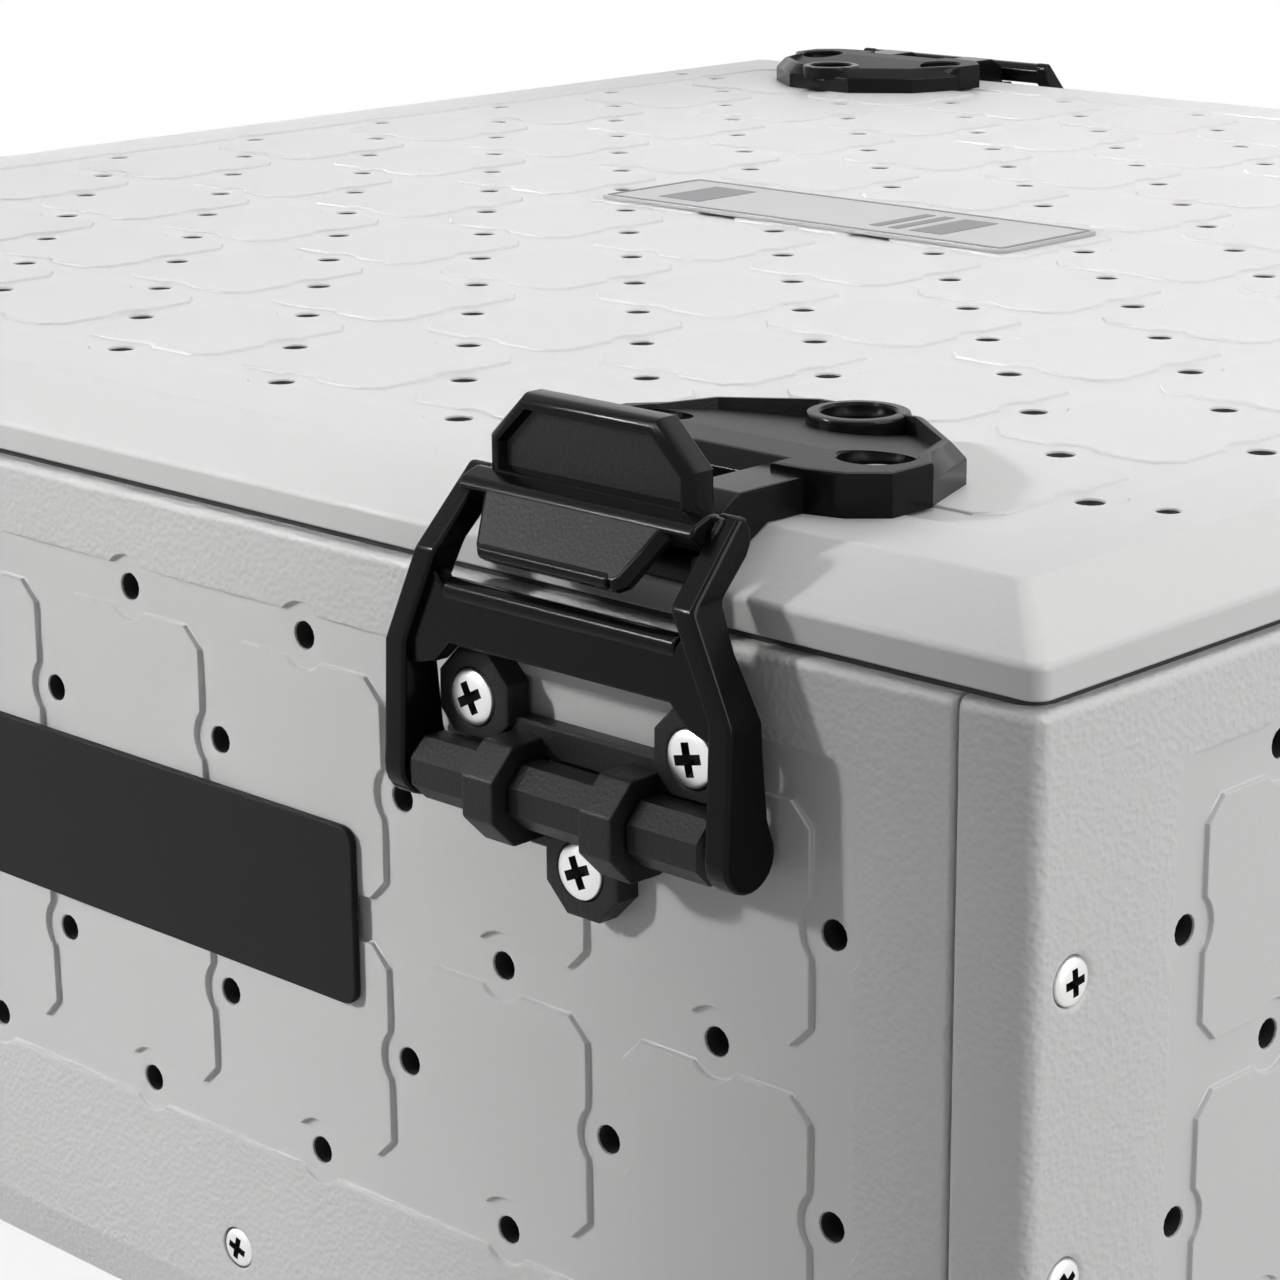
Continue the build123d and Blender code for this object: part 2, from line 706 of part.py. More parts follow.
frame_parts = {"front": latch_frame(), "rear": rear_frame()}
base_part = latch_base()
catch_part = catch_plate()
ear_seat = -gutter_depth - ear_thickness + head_sink
base_points = [(x, ear_seat, z) for x, z in latch_screws]
base_screw_part = screws_at(base_points, (0, 1, 0), latch_screw_length)
socket_floor = deck + catch_height - socket_depth
catch_points = [(x, y, socket_floor) for x, y in catch_screws]
catch_screw_part = screws_at(catch_points, (0, 0, -1), catch_screw_length)
for end_name, turn in (("front", Rot(0, 0, 0)), ("rear", half_turn)):
    for side_name, side in (("left", -1), ("right", 1)):
        x = side * latch_offset * (1 if end_name == "front" else -1)
        place = turn * Pos(x, -half_y, top_row_height)
        spot = f"{end_name}_{side_name}"
        parts[f"latch_frame_{spot}"] = place * frame_parts[end_name]
        parts[f"latch_base_{spot}"] = place * base_part
        parts[f"latch_base_screws_{spot}"] = place * base_screw_part
        parts[f"catch_plate_{spot}"] = place * catch_part
        parts[f"catch_screws_{spot}"] = place * catch_screw_part

os.makedirs("parts", exist_ok=True)
for name, shape in parts.items():
    shape.label = name
    export_step(shape, f"parts/{name}.step")
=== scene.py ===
"""Stackable storage box: tiled panels, lift-off lid and four swing latches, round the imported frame."""

import json
import math

import bmesh
import bpy
import numpy as np
from bpy.props import FloatProperty, FloatVectorProperty, IntProperty, PointerProperty
from mathutils import Matrix, Vector
from mathutils.geometry import delaunay_2d_cdt

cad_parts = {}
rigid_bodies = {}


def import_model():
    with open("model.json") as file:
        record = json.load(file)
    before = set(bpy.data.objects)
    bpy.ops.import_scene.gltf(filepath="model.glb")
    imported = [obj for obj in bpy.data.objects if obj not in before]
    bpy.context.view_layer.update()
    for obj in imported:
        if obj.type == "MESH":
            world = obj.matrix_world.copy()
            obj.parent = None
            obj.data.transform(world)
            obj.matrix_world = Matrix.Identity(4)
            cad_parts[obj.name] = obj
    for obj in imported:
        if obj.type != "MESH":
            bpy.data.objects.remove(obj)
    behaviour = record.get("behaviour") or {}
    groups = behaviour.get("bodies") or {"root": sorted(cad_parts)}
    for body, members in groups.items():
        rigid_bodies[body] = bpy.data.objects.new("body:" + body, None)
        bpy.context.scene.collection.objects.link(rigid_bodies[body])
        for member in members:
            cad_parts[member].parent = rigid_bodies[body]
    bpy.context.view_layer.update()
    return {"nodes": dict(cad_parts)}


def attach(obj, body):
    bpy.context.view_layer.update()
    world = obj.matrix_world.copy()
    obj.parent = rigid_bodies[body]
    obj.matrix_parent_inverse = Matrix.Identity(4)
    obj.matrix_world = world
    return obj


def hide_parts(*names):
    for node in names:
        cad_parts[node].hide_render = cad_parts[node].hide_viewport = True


bl_info = {
    "name": "Storage box builder",
    "version": (1, 0, 0),
    "blender": (4, 5, 0),
    "location": "View3D > Sidebar > Storage box",
    "description": "Panels, lid, latches, plates and screws of a stackable storage box",
    "category": "Object",
}

mm = 0.001
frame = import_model()

CORNERS = ("front_left", "front_right", "rear_left", "rear_right")
HALF_TURN = Matrix.Rotation(math.pi, 4, "Z")


def length(name, text, default):
    return FloatProperty(name=name, description=text, default=default * mm, unit="LENGTH", precision=4)


def colour(name, text, default):
    return FloatVectorProperty(name=name, description=text, default=default, subtype="COLOR", size=3,
                               min=0, max=1)


def power(name, text, default):
    return FloatProperty(name=name, description=text, default=default, min=0, unit="POWER")


# ---------------------------------------------------------------- sizes and colours
class BoxShellSizes(bpy.types.PropertyGroup):
    half: length("Half width", "Middle of the box to the channel plane of a panel", 264)
    wall: length("Wall", "Panel thickness behind the channels", 7)
    case_height: length("Case height", "Height of the upright panels", 169)
    top_row: length("Top row", "Height of the uppermost channel", 150)
    facet: length("Facet", "Width of the shallow slope beside each corner", 27.5)
    facet_round: length("Facet rounding", "Softness of the line where the slope begins", 3)
    seam: length("Seam", "Seam of the panels, in from the corner", 15)
    gap: length("Seam gap", "Gap between front and end panels", 0.6)
    corner_radius: length("Corner radius", "Rounding of the upright corners", 3)
    top_round: length("Top rounding", "Rounding along the top edge of the panels", 1.8)
    foot_height: length("Foot height", "Height of the sloped foot", 11)
    foot_inset: length("Foot inset", "How far the foot slopes inwards", 3)
    edge: length("Edge rounding", "Rounding of the panels' upright edges", 0.9)
    post_width: length("Post width", "Screw posts at the ends of the long panels", 16)
    post_depth: length("Post depth", "How far the screw posts reach inwards", 14)
    post_low: length("Post foot", "Lower end of the screw posts", 34)
    post_high: length("Post head", "Upper end of the screw posts", 129)
    screw_height: length("Floor screws", "Height of the screws through the panels into the floor", 22)
    head_sink: length("Sunk heads", "Heads of the floor screws below the panel's face", 2)
    rim_base: length("Rim base", "Underside of the lid's rim", 170.5)
    rim_top: length("Rim top", "Upper edge of the lid's rim", 176)
    lid_top: length("Lid top", "Height of the lid's flat top", 184)
    lid_inset: length("Lid inset", "Rim, in from the channel plane", 0.5)
    lid_slope: length("Lid slope", "Level width of the slope round the lid", 15)
    lid_wall: length("Lid wall", "Thickness of the lid", 4.5)
    lid_corner: length("Lid corner", "Corner radius of the lid", 3)
    lid_channel: length("Lid channels", "Height of the tiles above the lid's channels", 0.6)
    rim_bend: length("Rim bend", "Rounding between rim and slope", 1.5)
    top_bend: length("Top bend", "Rounding between slope and flat top", 3)
    tongue_drop: length("Tongue", "How far the lid's tongue reaches down", 12)
    tongue_wall: length("Tongue wall", "Thickness of the tongue", 3)


class BoxLatticeSizes(bpy.types.PropertyGroup):
    pitch: length("Pitch", "Spacing of the tiles", 50)
    columns: IntProperty(name="Columns", description="Tiles across a face", default=9, min=2)
    rows: IntProperty(name="Rows", description="Tile rows on an upright panel", default=2, min=1)
    channel: length("Channel", "Width of the channels between tiles", 8.7)
    depth: length("Channel depth", "Height of the tiles above the channels", 1.0)
    tile_corner: length("Tile corner", "Cut corners of the tiles", 4)
    bulge: length("Bulge", "Radius of the widening of the channel round each hole", 6.4)
    hole: length("Hole", "Radius of the bolt holes", 2.6)


class BoxLatchSizes(bpy.types.PropertyGroup):
    offset: length("Offset", "Latch centres from the middle of the box", 175)
    pivot_y: length("Pivot depth", "Pivot, outward from the channel plane", -7.7)
    pivot_z: length("Pivot height", "Pivot, up from the uppermost channel", -13)
    bar_y: length("Hook bar depth", "Hook bar, outward from the channel plane", -0.6)
    bar_z: length("Hook bar height", "Hook bar, up from the uppermost channel", 35.6)
    half_width: length("Half width", "Outside of the arms at the pivot", 39.5)
    neck: length("Neck", "Outside of the arms at the hook bar", 31)
    arm: length("Arm", "Thickness of the arms", 5)
    edge: length("Edge rounding", "Rounding of the arms' edges", 1.0)
    journal: length("Journal", "Radius of the pivot bar inside the knuckles", 4.4)
    fit: length("Journal fit", "Play of the pivot bar in the knuckles", 0.08)


class BoxColours(bpy.types.PropertyGroup):
    shell: colour("Shell", "Moulded panels and lid", (0.610, 0.608, 0.604))
    # Bolt holes: painted shade, a near-black colour on the hole walls that stands in for the shade inside them
    bore: colour("Bolt holes", "Shaded walls of the bolt holes", (0.02, 0.02, 0.02))
    latch: colour("Latch", "Black latch plastic", (0.0052, 0.0051, 0.0053))
    # Recess: painted shade, near-black in the zinc screws' cross recess where shade falls
    recess: colour("Recess", "Dark cross recess of the screws", (0.004, 0.004, 0.004))
    steel: colour("Screws", "Bright zinc", (0.78, 0.78, 0.77))
    plate: colour("Nameplate", "Dark nameplate", (0.014, 0.014, 0.0145))
    stripe: colour("Badge marks", "Border and stripes of the badge", (0.16, 0.16, 0.17))
    badge: colour("Badge", "Satin badge on the lid", (0.46, 0.46, 0.46))
    # Seal: black rubber, whose black also serves as painted shade for the dark seam between lid and case
    seal: colour("Seal", "Rubber seal", (0.012, 0.012, 0.012))
    floor: colour("Studio floor", "Floor under the box, as it lights the box", (0.36, 0.36, 0.36))
    floor_seen: colour("Seen floor", "Floor under the box, as the camera sees it", (0.9, 0.9, 0.9))


class BoxStudio(bpy.types.PropertyGroup):
    ambient: FloatProperty(name="Ambient", description="Level of the even light from all round",
                           default=0.17, min=0)
    top: power("Top light", "Power of the overhead panel", 16)
    side: power("Side light", "Power of the right-hand panel", 20)
    front: power("Front light", "Power of the left-hand front panel", 1.5)
    strip: power("Edge strips", "Power of the two narrow strips that light the edges", 7)


# ---------------------------------------------------------------- outlines
BULGE_STEPS = 9              # points round one bulge of a channel


def miter(loop):
    """Outward directions at the corners of an anticlockwise loop, long enough to move both edges by one."""
    before = loop - np.roll(loop, 1, 0)
    after = np.roll(loop, -1, 0) - loop
    sides = []
    for edge in (before, after):
        edge = edge / np.linalg.norm(edge, axis=1)[:, None]
        sides.append(np.stack([edge[:, 1], -edge[:, 0]], 1))
    share = 1 + (sides[0] * sides[1]).sum(1)
    return (sides[0] + sides[1]) / np.maximum(share, 0.4)[:, None]


def grown(loop, distance):
    return loop + distance * miter(loop)


def circle(radius, cu=0.0, cv=0.0, count=14):
    turn = np.arange(count) * math.tau / count
    return np.stack([cu + radius * np.cos(turn), cv + radius * np.sin(turn)], 1)


def arc(cu, cv, radius, start, end, count):
    turn = np.radians(np.linspace(start, end, count + 1))
    return np.stack([cu + radius * np.cos(turn), cv + radius * np.sin(turn)], 1)


def mirrored(half):
    """Counter-clockwise loop symmetrical about u = 0, from the points of its right half, bottom first."""
    half = np.array(half, float)
    return np.vstack([half, half[::-1] * (-1, 1)])


def octagon(size, cu=0.0, cv=0.0):
    a = size / 2
    b = a * (math.sqrt(2) - 1)
    ring = [(a, -b), (a, b), (b, a), (-b, a), (-a, b), (-a, -b), (-b, -a), (b, -a)]
    return np.array(ring) + (cu, cv)


def rounded_rectangle(half_u, half_v, radius, steps=6):
    corners = []
    for k, (su, sv) in enumerate(((1, 1), (-1, 1), (-1, -1), (1, -1))):
        corners.append(arc(su * (half_u - radius), sv * (half_v - radius), radius, 90 * k, 90 * k + 90, steps))
    return np.vstack(corners)


def rounded(points, radii, steps=4):
    """Open line through the points, its inner corners rounded by the radii."""
    points = [np.array(p, float) for p in points]
    path = [points[0]]
    for before, corner, after, radius in zip(points, points[1:], points[2:], radii):
        back = (before - corner) / np.linalg.norm(before - corner)
        ahead = (after - corner) / np.linalg.norm(after - corner)
        half = math.acos(np.clip(back @ ahead, -1, 1)) / 2
        middle = (back + ahead) / np.linalg.norm(back + ahead)
        centre = corner + middle * radius / math.sin(half)
        first = corner + back * radius / math.tan(half) - centre
        last = corner + ahead * radius / math.tan(half) - centre
        for t in np.linspace(0, 1, steps + 1):
            way = first * (1 - t) + last * t
            path.append(centre + way * radius / np.linalg.norm(way))
    return path + [points[-1]]


def with_bulges(start, end, centres, radius, outward):
    """Line from start to end, bending round each centre on the channel's middle line."""
    start, end = np.array(start, float), np.array(end, float)
    along = (end - start) / np.linalg.norm(end - start)
    out = np.array([along[1], -along[0]])
    points = [start]
    for centre in centres:
        away = (start - centre) @ out
        half = math.sqrt(radius * radius - away * away)
        span = math.atan2(half, abs(away))
        for turn in np.linspace(-span, span, BULGE_STEPS):
            points.append(centre + along * radius * math.sin(turn) + out * outward * radius * math.cos(turn))
    return points + [end]


def four_sides(side):
    """Closed loop from its four sides, each drawn as the right-hand one and then turned into place."""
    quarter = np.array([[0, -1], [1, 0]])
    return np.array([np.linalg.matrix_power(quarter, k) @ point for k in range(4) for point in side(k)])


def tile_outline(lattice):
    """One tile about the origin: cut corners, with a bay in the middle of each side."""
    half = (lattice.pitch - lattice.channel) / 2
    reach = half - lattice.tile_corner
    bay = [np.array([lattice.pitch / 2, 0])]
    return four_sides(lambda k: with_bulges((half, -reach), (half, reach), bay, lattice.bulge, -1))


def field_outline(lattice, columns, rows):
    """Outer line of the channels round a whole field of tiles, centred on the origin."""
    reach = np.array([columns, rows]) * lattice.pitch / 2
    half = reach + lattice.channel / 2

    def side(k):
        u, v = half if k % 2 == 0 else half[::-1]
        count = (rows, columns)[k % 2]
        centres = [np.array([reach[k % 2], (j + 0.5 - count / 2) * lattice.pitch]) for j in range(count)]
        return with_bulges((u, lattice.tile_corner - v), (u, v - lattice.tile_corner), centres, lattice.bulge, 1)

    return four_sides(side)


def lattice_holes(lattice, columns, rows):
    """Bolt holes in the middle of every tile edge, about the middle of the field."""
    spots = []
    for i in range(columns + 1):
        for j in range(rows):
            spots.append(((i - columns / 2) * lattice.pitch, (j + 0.5 - rows / 2) * lattice.pitch))
    for i in range(columns):
        for j in range(rows + 1):
            spots.append(((i + 0.5 - columns / 2) * lattice.pitch, (j - rows / 2) * lattice.pitch))
    return spots


def inside(point, loop):
    """Whether a point lies inside a closed loop."""
    a, b = loop, np.roll(loop, -1, 0)
    crosses = (a[:, 1] > point[1]) != (b[:, 1] > point[1])
    a, b = a[crosses], b[crosses]
    at = a[:, 0] + (point[1] - a[:, 1]) * (b[:, 0] - a[:, 0]) / (b[:, 1] - a[:, 1])
    return np.count_nonzero(at > point[0]) % 2 == 1


# ---------------------------------------------------------------- mesh building
def plane(origin, u, v, w):
    """Turns (u, v, height) into a point of the box, from an origin and three directions."""
    origin, u, v, w = (np.array(x, float) for x in (origin, u, v, w))
    return lambda a, b, h: origin + a * u + b * v + h * w


def facing_front(y, z=0.0):
    return plane((0, y, z), (1, 0, 0), (0, 0, 1), (0, -1, 0))


def facing_up(z):
    return plane((0, 0, z), (1, 0, 0), (0, 1, 0), (0, 0, 1))


def facing_right(x, y=0.0, z=0.0):
    return plane((x, y, z), (0, 1, 0), (0, 0, 1), (1, 0, 0))


FINISHES = 4                 # most finishes on one piece; empty slots keep them apart while solids are joined
WELD = 2e-6                  # vertices closer than this become one


class Ring:
    """A closed row of vertices, with the flat outline it was made from."""

    def __init__(self, ids, flat):
        self.ids = ids
        self.flat = flat


class Shape:
    """Vertices and faces of one closed piece."""

    def __init__(self):
        self.points = []
        self.faces = []
        self.finish = []

    def ring(self, flat, height, place):
        start = len(self.points)
        self.points += [place(a, b, height) for a, b in flat]
        return Ring(list(range(start, len(self.points))), np.asarray(flat))

    def face(self, ids, finish=0):
        self.faces.append(ids)
        self.finish.append(finish)

    def band(self, low, high, finish=0):
        a, b = low.ids, high.ids
        for k in range(len(a)):
            n = (k + 1) % len(a)
            self.face([a[k], a[n], b[n], b[k]], finish)

    def cap(self, ring, finish=0, under=False):
        self.face(ring.ids[::-1] if under else list(ring.ids), finish)

    def stack(self, loop, profile, place, finish=0, top_finish=None, closed=(True, True)):
        """Rings of one outline, each grown and raised by the profile, with a cap at both ends."""
        rings = [self.ring(grown(loop, grow), height, place) for grow, height in profile]
        for low, high in zip(rings, rings[1:]):
            self.band(low, high, finish)
        if closed[0]:
            self.cap(rings[0], finish, under=True)
        if closed[1]:
            self.cap(rings[-1], finish if top_finish is None else top_finish)
        return rings

    def fill(self, outer, holes, finish=0, flip=False):
        """Flat skin inside one ring and round others."""
        rings = [outer, *holes]
        ids = [i for ring in rings for i in ring.ids]
        flat = np.vstack([ring.flat for ring in rings])
        owner = np.concatenate([[k] * len(ring.ids) for k, ring in enumerate(rings)])
        edges, start = [], 0
        for ring in rings:
            count = len(ring.ids)
            edges += [(start + k, start + (k + 1) % count) for k in range(count)]
            start += count
        found = delaunay_2d_cdt([(a / mm, b / mm) for a, b in flat], edges, [], 1, 1e-6)
        source = [originals[0] if originals else None for originals in found[3]]
        for triangle in found[2]:
            corners = [source[k] for k in triangle]
            if None in corners:
                continue
            owners = {owner[k] for k in corners}
            if len(owners) == 1:
                k = owners.pop()
                middle = flat[corners].mean(0)
                if inside(middle, rings[k].flat) != (k == 0):
                    continue
            face = [ids[k] for k in corners]
            self.face(face[::-1] if flip else face, finish)

    def bevel(self, offset, angle=22, steps=3):
        """Round the edges that turn by more than an angle."""
        mesh = self.raw()
        work = bmesh.new()
        work.from_mesh(mesh)
        bpy.data.meshes.remove(mesh)
        bmesh.ops.remove_doubles(work, verts=work.verts, dist=1e-7)
        limit = math.radians(angle)
        sharp = [e for e in work.edges if len(e.link_faces) == 2 and e.calc_face_angle(0) > limit]
        bmesh.ops.bevel(work, geom=sharp, offset=offset, offset_type="OFFSET", segments=steps, profile=0.5,
                        affect="EDGES", clamp_overlap=True, material=-1)
        work.verts.index_update()
        self.points = [np.array(v.co) for v in work.verts]
        self.faces = [[v.index for v in f.verts] for f in work.faces]
        self.finish = [f.material_index for f in work.faces]
        work.free()
        return self

    def raw(self):
        mesh = bpy.data.meshes.new("piece")
        for _ in range(FINISHES):
            mesh.materials.append(None)
        mesh.from_pydata([tuple(p) for p in self.points], [], self.faces)
        mesh.polygons.foreach_set("material_index", self.finish)
        mesh.update()
        return mesh

    def mesh(self):
        """The piece as a mesh with its doubled vertices welded."""
        mesh = self.raw()
        work = bmesh.new()
        work.from_mesh(mesh)
        bmesh.ops.remove_doubles(work, verts=work.verts, dist=WELD)
        bmesh.ops.dissolve_degenerate(work, edges=work.edges, dist=1e-6)
        work.to_mesh(mesh)
        work.free()
        return mesh


def prism(outline, start, end, place, finish=0):
    """Plain prism between two heights."""
    shape = Shape()
    shape.stack(np.array(outline, float), [(0, start), (0, end)], place, finish)
    return shape


def soft(depth, radius, steps=3):
    """Profile of a slab with rounded edges below and above."""
    turns = np.linspace(0, math.pi / 2, steps + 1)
    low = [(-radius + radius * math.sin(t), radius - radius * math.cos(t)) for t in turns]
    high = [(grow, depth - rise) for grow, rise in reversed(low)]
    return low + high


def combine(first, others, operation="UNION"):
    """Join or cut meshes as solids."""
    holder = bpy.data.objects.new("work", first)
    bpy.context.scene.collection.objects.link(holder)
    tools = []
    for other in others:
        tool = bpy.data.objects.new("tool", other)
        bpy.context.scene.collection.objects.link(tool)
        tools.append(tool)
        step = holder.modifiers.new("solid", "BOOLEAN")
        step.operation = operation
        step.solver = "MANIFOLD"
        step.object = tool
    bpy.context.view_layer.update()
    result = bpy.data.meshes.new_from_object(holder.evaluated_get(bpy.context.evaluated_depsgraph_get()))
    for thing in [holder, *tools]:
        mesh = thing.data
        bpy.data.objects.remove(thing)
        bpy.data.meshes.remove(mesh)
    if not result.polygons:
        raise RuntimeError("two solids could not be combined")
    return result


def add_piece(name, mesh, materials, body, nodes, turn=None, sharp=38):
    """Place a finished mesh as a piece of the box."""
    mesh = mesh.copy()
    mesh.name = name
    if turn is not None:
        mesh.transform(turn)
    while len(mesh.materials) < len(materials):
        mesh.materials.append(None)
    for k in range(len(mesh.materials)):
        mesh.materials[k] = materials[min(k, len(materials) - 1)]
    mesh.shade_smooth()
    mesh.set_sharp_from_angle(angle=math.radians(sharp))
    piece = bpy.data.objects.new(name, mesh)
    bpy.context.scene.collection.objects.link(piece)
    weighted = piece.modifiers.new("weighted normals", "WEIGHTED_NORMAL")
    weighted.keep_sharp = True
    weighted.weight = 80
    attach(piece, body)
    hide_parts(*nodes)
    return piece


# ---------------------------------------------------------------- panels and lid
# The fourth finish is painted shade: the walls of holes and screw seats are drawn near-black for the shade inside
# them.
BORDER, TILE, CHANNEL, PAINTED_BORE_SHADE = range(4)
# Rings of an edge: mm outwards, then share of the height or mm of height.
STEP = ((0.30, 0.0), (0.10, 0.16), (0.0, 0.70), (-0.13, 0.92), (-0.42, 1.0))      # edge of a tile, share
HOLE = ((0.45, 0.0), (0.14, -0.10), (0.0, -0.45))                             # rim of a hole: mm out, mm up
SEAT = ((1.1, 0.0), (0.65, -0.07), (0.25, -0.28), (0.0, -0.7))           # lip of a corner screw's recess, mm
SCREW_COLUMNS = (3, 6)       # lattice lines that carry the floor screws
SMALL_SEAT = 4.2 * mm        # radius of the recesses for the small screw heads
CORNER_INSET = 9.5 * mm      # corner screws, in from the channel plane of the neighbouring panel
CORNER_SINK = 1.4 * mm       # floor of their recesses below the channel plane
QUARTER = np.radians((0, 30, 60, 90))
LID_CORNER_HOLE = (239.5 * mm, 198.5 * mm)
LID_HOLE = 2.1 * mm          # radius of the four holes outside the lid's tile field
OPEN_BAND = 2                # band of a wall whose tiled face and back are filled in later


def tile_field(shape, place, lattice, columns, rows, depth, through):
    """Channels, tiles and bolt holes. Gives the ring to fill up to and the holes' rings at the back."""
    outline = field_outline(lattice, columns, rows)
    outer = [shape.ring(grown(outline, -grow * mm), rise * depth, place) for grow, rise in STEP]
    for low, high in zip(outer, outer[1:]):
        shape.band(high, low, BORDER)
    tile = tile_outline(lattice)
    inner = []
    for i in range(columns):
        for j in range(rows):
            centre = ((i + 0.5 - columns / 2) * lattice.pitch, (j + 0.5 - rows / 2) * lattice.pitch)
            rings = [shape.ring(grown(tile, grow * mm) + centre, rise * depth, place) for grow, rise in STEP]
            for low, high in zip(rings, rings[1:]):
                shape.band(low, high, TILE)
            shape.cap(rings[-1], TILE)
            inner.append(rings[0])
    backs = []
    for spot in lattice_holes(lattice, columns, rows):
        rim, back = hole(shape, place, spot, lattice.hole, 0.0, through)
        inner.append(rim)
        backs.append(back)
    shape.fill(outer[0], inner, CHANNEL)
    return outer[-1], backs


def hole(shape, place, spot, radius, level, through, finish=CHANNEL):
    """Round hole from a level to the back of the wall, its wall in the painted shade finish. Gives its rim and its
    ring at the back.
    """
    rings = [shape.ring(circle(radius + grow * mm, *spot), level + rise * mm, place) for grow, rise in HOLE]
    for high, low in zip(rings, rings[1:]):
        shape.band(high, low, finish)
    rings.append(shape.ring(circle(radius, *spot), -through, place))
    shape.band(rings[-2], rings[-1], PAINTED_BORE_SHADE)
    return rings[0], rings[-1]


def sunk_seat(shape, place, spot, head, radius, level, sink, through):
    """Round recess for a sunk screw head, with its hole. Gives its rim and the hole's ring at the back."""
    sides = [(head + 0.5 * mm, level), (head + 0.12 * mm, level - 0.1 * mm), (head, level - 0.45 * mm),
             (head, level - sink), (radius, level - sink), (radius, -through)]
    rings = [shape.ring(circle(r, *spot, count=24), z, place) for r, z in sides]
    for k, (high, low) in enumerate(zip(rings, rings[1:])):
        # The seat's wall, floor and hole take the painted shade finish.
        shape.band(high, low, BORDER if k < 2 else PAINTED_BORE_SHADE)
    return rings[0], rings[-1]


def panel_profile(shell):
    """Inset and height of the rings of an upright panel, foot to top edge."""
    r = shell.top_round
    rise = [(shell.foot_inset, 0.0), (0.25 * mm, shell.foot_height - 0.9 * mm),
            (0.0, shell.foot_height + 0.6 * mm)]
    turns = np.radians(np.linspace(0, 90, 5))
    return rise + [(r - r * math.cos(t), shell.case_height - r + r * math.sin(t)) for t in turns]


def wall_shell(shape, plan, push, shell, skipped):
    """Upright wall from a plan whose outer points move inwards. Gives its open band's rings and heights."""
    profile = panel_profile(shell)
    rings = [shape.ring(plan + inset * push, z, facing_up(0)) for inset, z in profile]
    for k, (low, high) in enumerate(zip(rings, rings[1:])):
        for i in range(len(plan)):
            n = (i + 1) % len(plan)
            if k == OPEN_BAND and i in skipped:
                continue
            shape.face([low.ids[i], low.ids[n], high.ids[n], high.ids[i]], BORDER)
    shape.cap(rings[0], BORDER, under=True)
    shape.cap(rings[-1], BORDER)
    return rings[OPEN_BAND], rings[OPEN_BAND + 1], [z for _, z in profile[OPEN_BAND:OPEN_BAND + 2]]


def window(low, high, i, n, along, heights):
    """Ring round an open face of a wall, between the plan's points i and n."""
    flat = [(along[i], heights[0]), (along[n], heights[0]), (along[n], heights[1]), (along[i], heights[1])]
    return Ring([low.ids[i], low.ids[n], high.ids[n], high.ids[i]], np.array(flat))


def field_height(shell, lattice):
    """Height of the middle of the tile field on an upright panel."""
    return shell.top_row - lattice.rows * lattice.pitch / 2


def tiled_face(shape, shell, lattice, place):
    """Tiles, bolt holes and floor-screw seats of a panel. Gives the rims to fill round, front and back."""
    rim, backs = tile_field(shape, place, lattice, lattice.columns, lattice.rows, lattice.depth, shell.wall)
    rims = [rim]
    for k in SCREW_COLUMNS:
        spot = ((k - lattice.columns / 2) * lattice.pitch, shell.screw_height - field_height(shell, lattice))
        edge, back = sunk_seat(shape, place, spot, SMALL_SEAT, lattice.hole, lattice.depth, shell.head_sink,
                               shell.wall)
        rims.append(edge)
        backs.append(back)
    return rims, backs


def long_panel(shell, lattice):
    """Front panel: flat tiled face, soft slopes towards its ends and a screw post at each end."""
    shape = Shape()
    end = shell.half - shell.seam - shell.gap
    flat = shell.half - shell.facet - shell.facet_round
    face = shell.half + lattice.depth
    slope = lattice.depth / shell.facet
    at_end = face - (end - (shell.half - shell.facet)) * slope
    r = shell.edge
    right = [
        (flat, -face),
        (flat + shell.facet_round, -face + 0.25 * shell.facet_round * slope),
        (flat + shell.facet_round * 2, shell.facet_round * slope * 0.9 - face),
        *[(end - r + r * math.sin(t), -(at_end - r + r * math.cos(t))) for t in QUARTER],
        (end, -(shell.half - shell.wall)),
    ]
    plan = np.array([(-x, y) for x, y in reversed(right)] + right)
    inner = shell.half - shell.wall
    push = np.array([(0.0, 0.0 if abs(y) < inner + 0.1 * mm else 1.0) for _, y in plan])
    face_edge = len(right) - 1
    back_edge = len(plan) - 1
    low, high, heights = wall_shell(shape, plan, push, shell, {face_edge, back_edge})
    middle = field_height(shell, lattice)
    heights = [z - middle for z in heights]
    rims, backs = tiled_face(shape, shell, lattice, facing_front(-shell.half, middle))
    across = plan[:, 0]
    shape.fill(window(low, high, face_edge, face_edge + 1, across, heights), rims, BORDER)
    shape.fill(window(low, high, 0, back_edge, across, heights), backs, BORDER, flip=True)
    posts = []
    near = end - shell.post_width
    for side in (-1, 1):
        for far, start, deep in ((inner - shell.gap, shell.gap, shell.post_depth),
                                 (end, -0.5 * mm, shell.gap + 0.5 * mm)):
            a, b = sorted((side * near, side * far))
            outline = [(a, start - inner), (b, start - inner), (b, deep - inner), (a, deep - inner)]
            posts.append(prism(outline, shell.post_low, shell.post_high, facing_up(0)).mesh())
    return combine(shape.mesh(), posts)


def corner_seat(shape, shell, lattice, slope, spot):
    """Round recess of a corner screw in a slope of the end panel. Gives its rim."""
    middle = field_height(shell, lattice)
    (x0, y0), (x1, y1) = slope
    radius = SMALL_SEAT

    def on_slope(u, v, h):
        return np.array([x0 + (x1 - x0) * (u - y0) / (y1 - y0) + h, u, v + middle])

    rings = [shape.ring(circle(radius + g * mm, *spot, count=28), h * mm, on_slope) for g, h in SEAT]
    bottom = facing_right(shell.half - CORNER_SINK, 0, middle)
    rings.append(shape.ring(circle(radius, *spot, count=28), 0.0, bottom))
    for upper, lower in zip(rings, rings[1:]):
        shape.band(upper, lower, BORDER)
    shape.cap(rings[-1], BORDER)
    return rings[0]


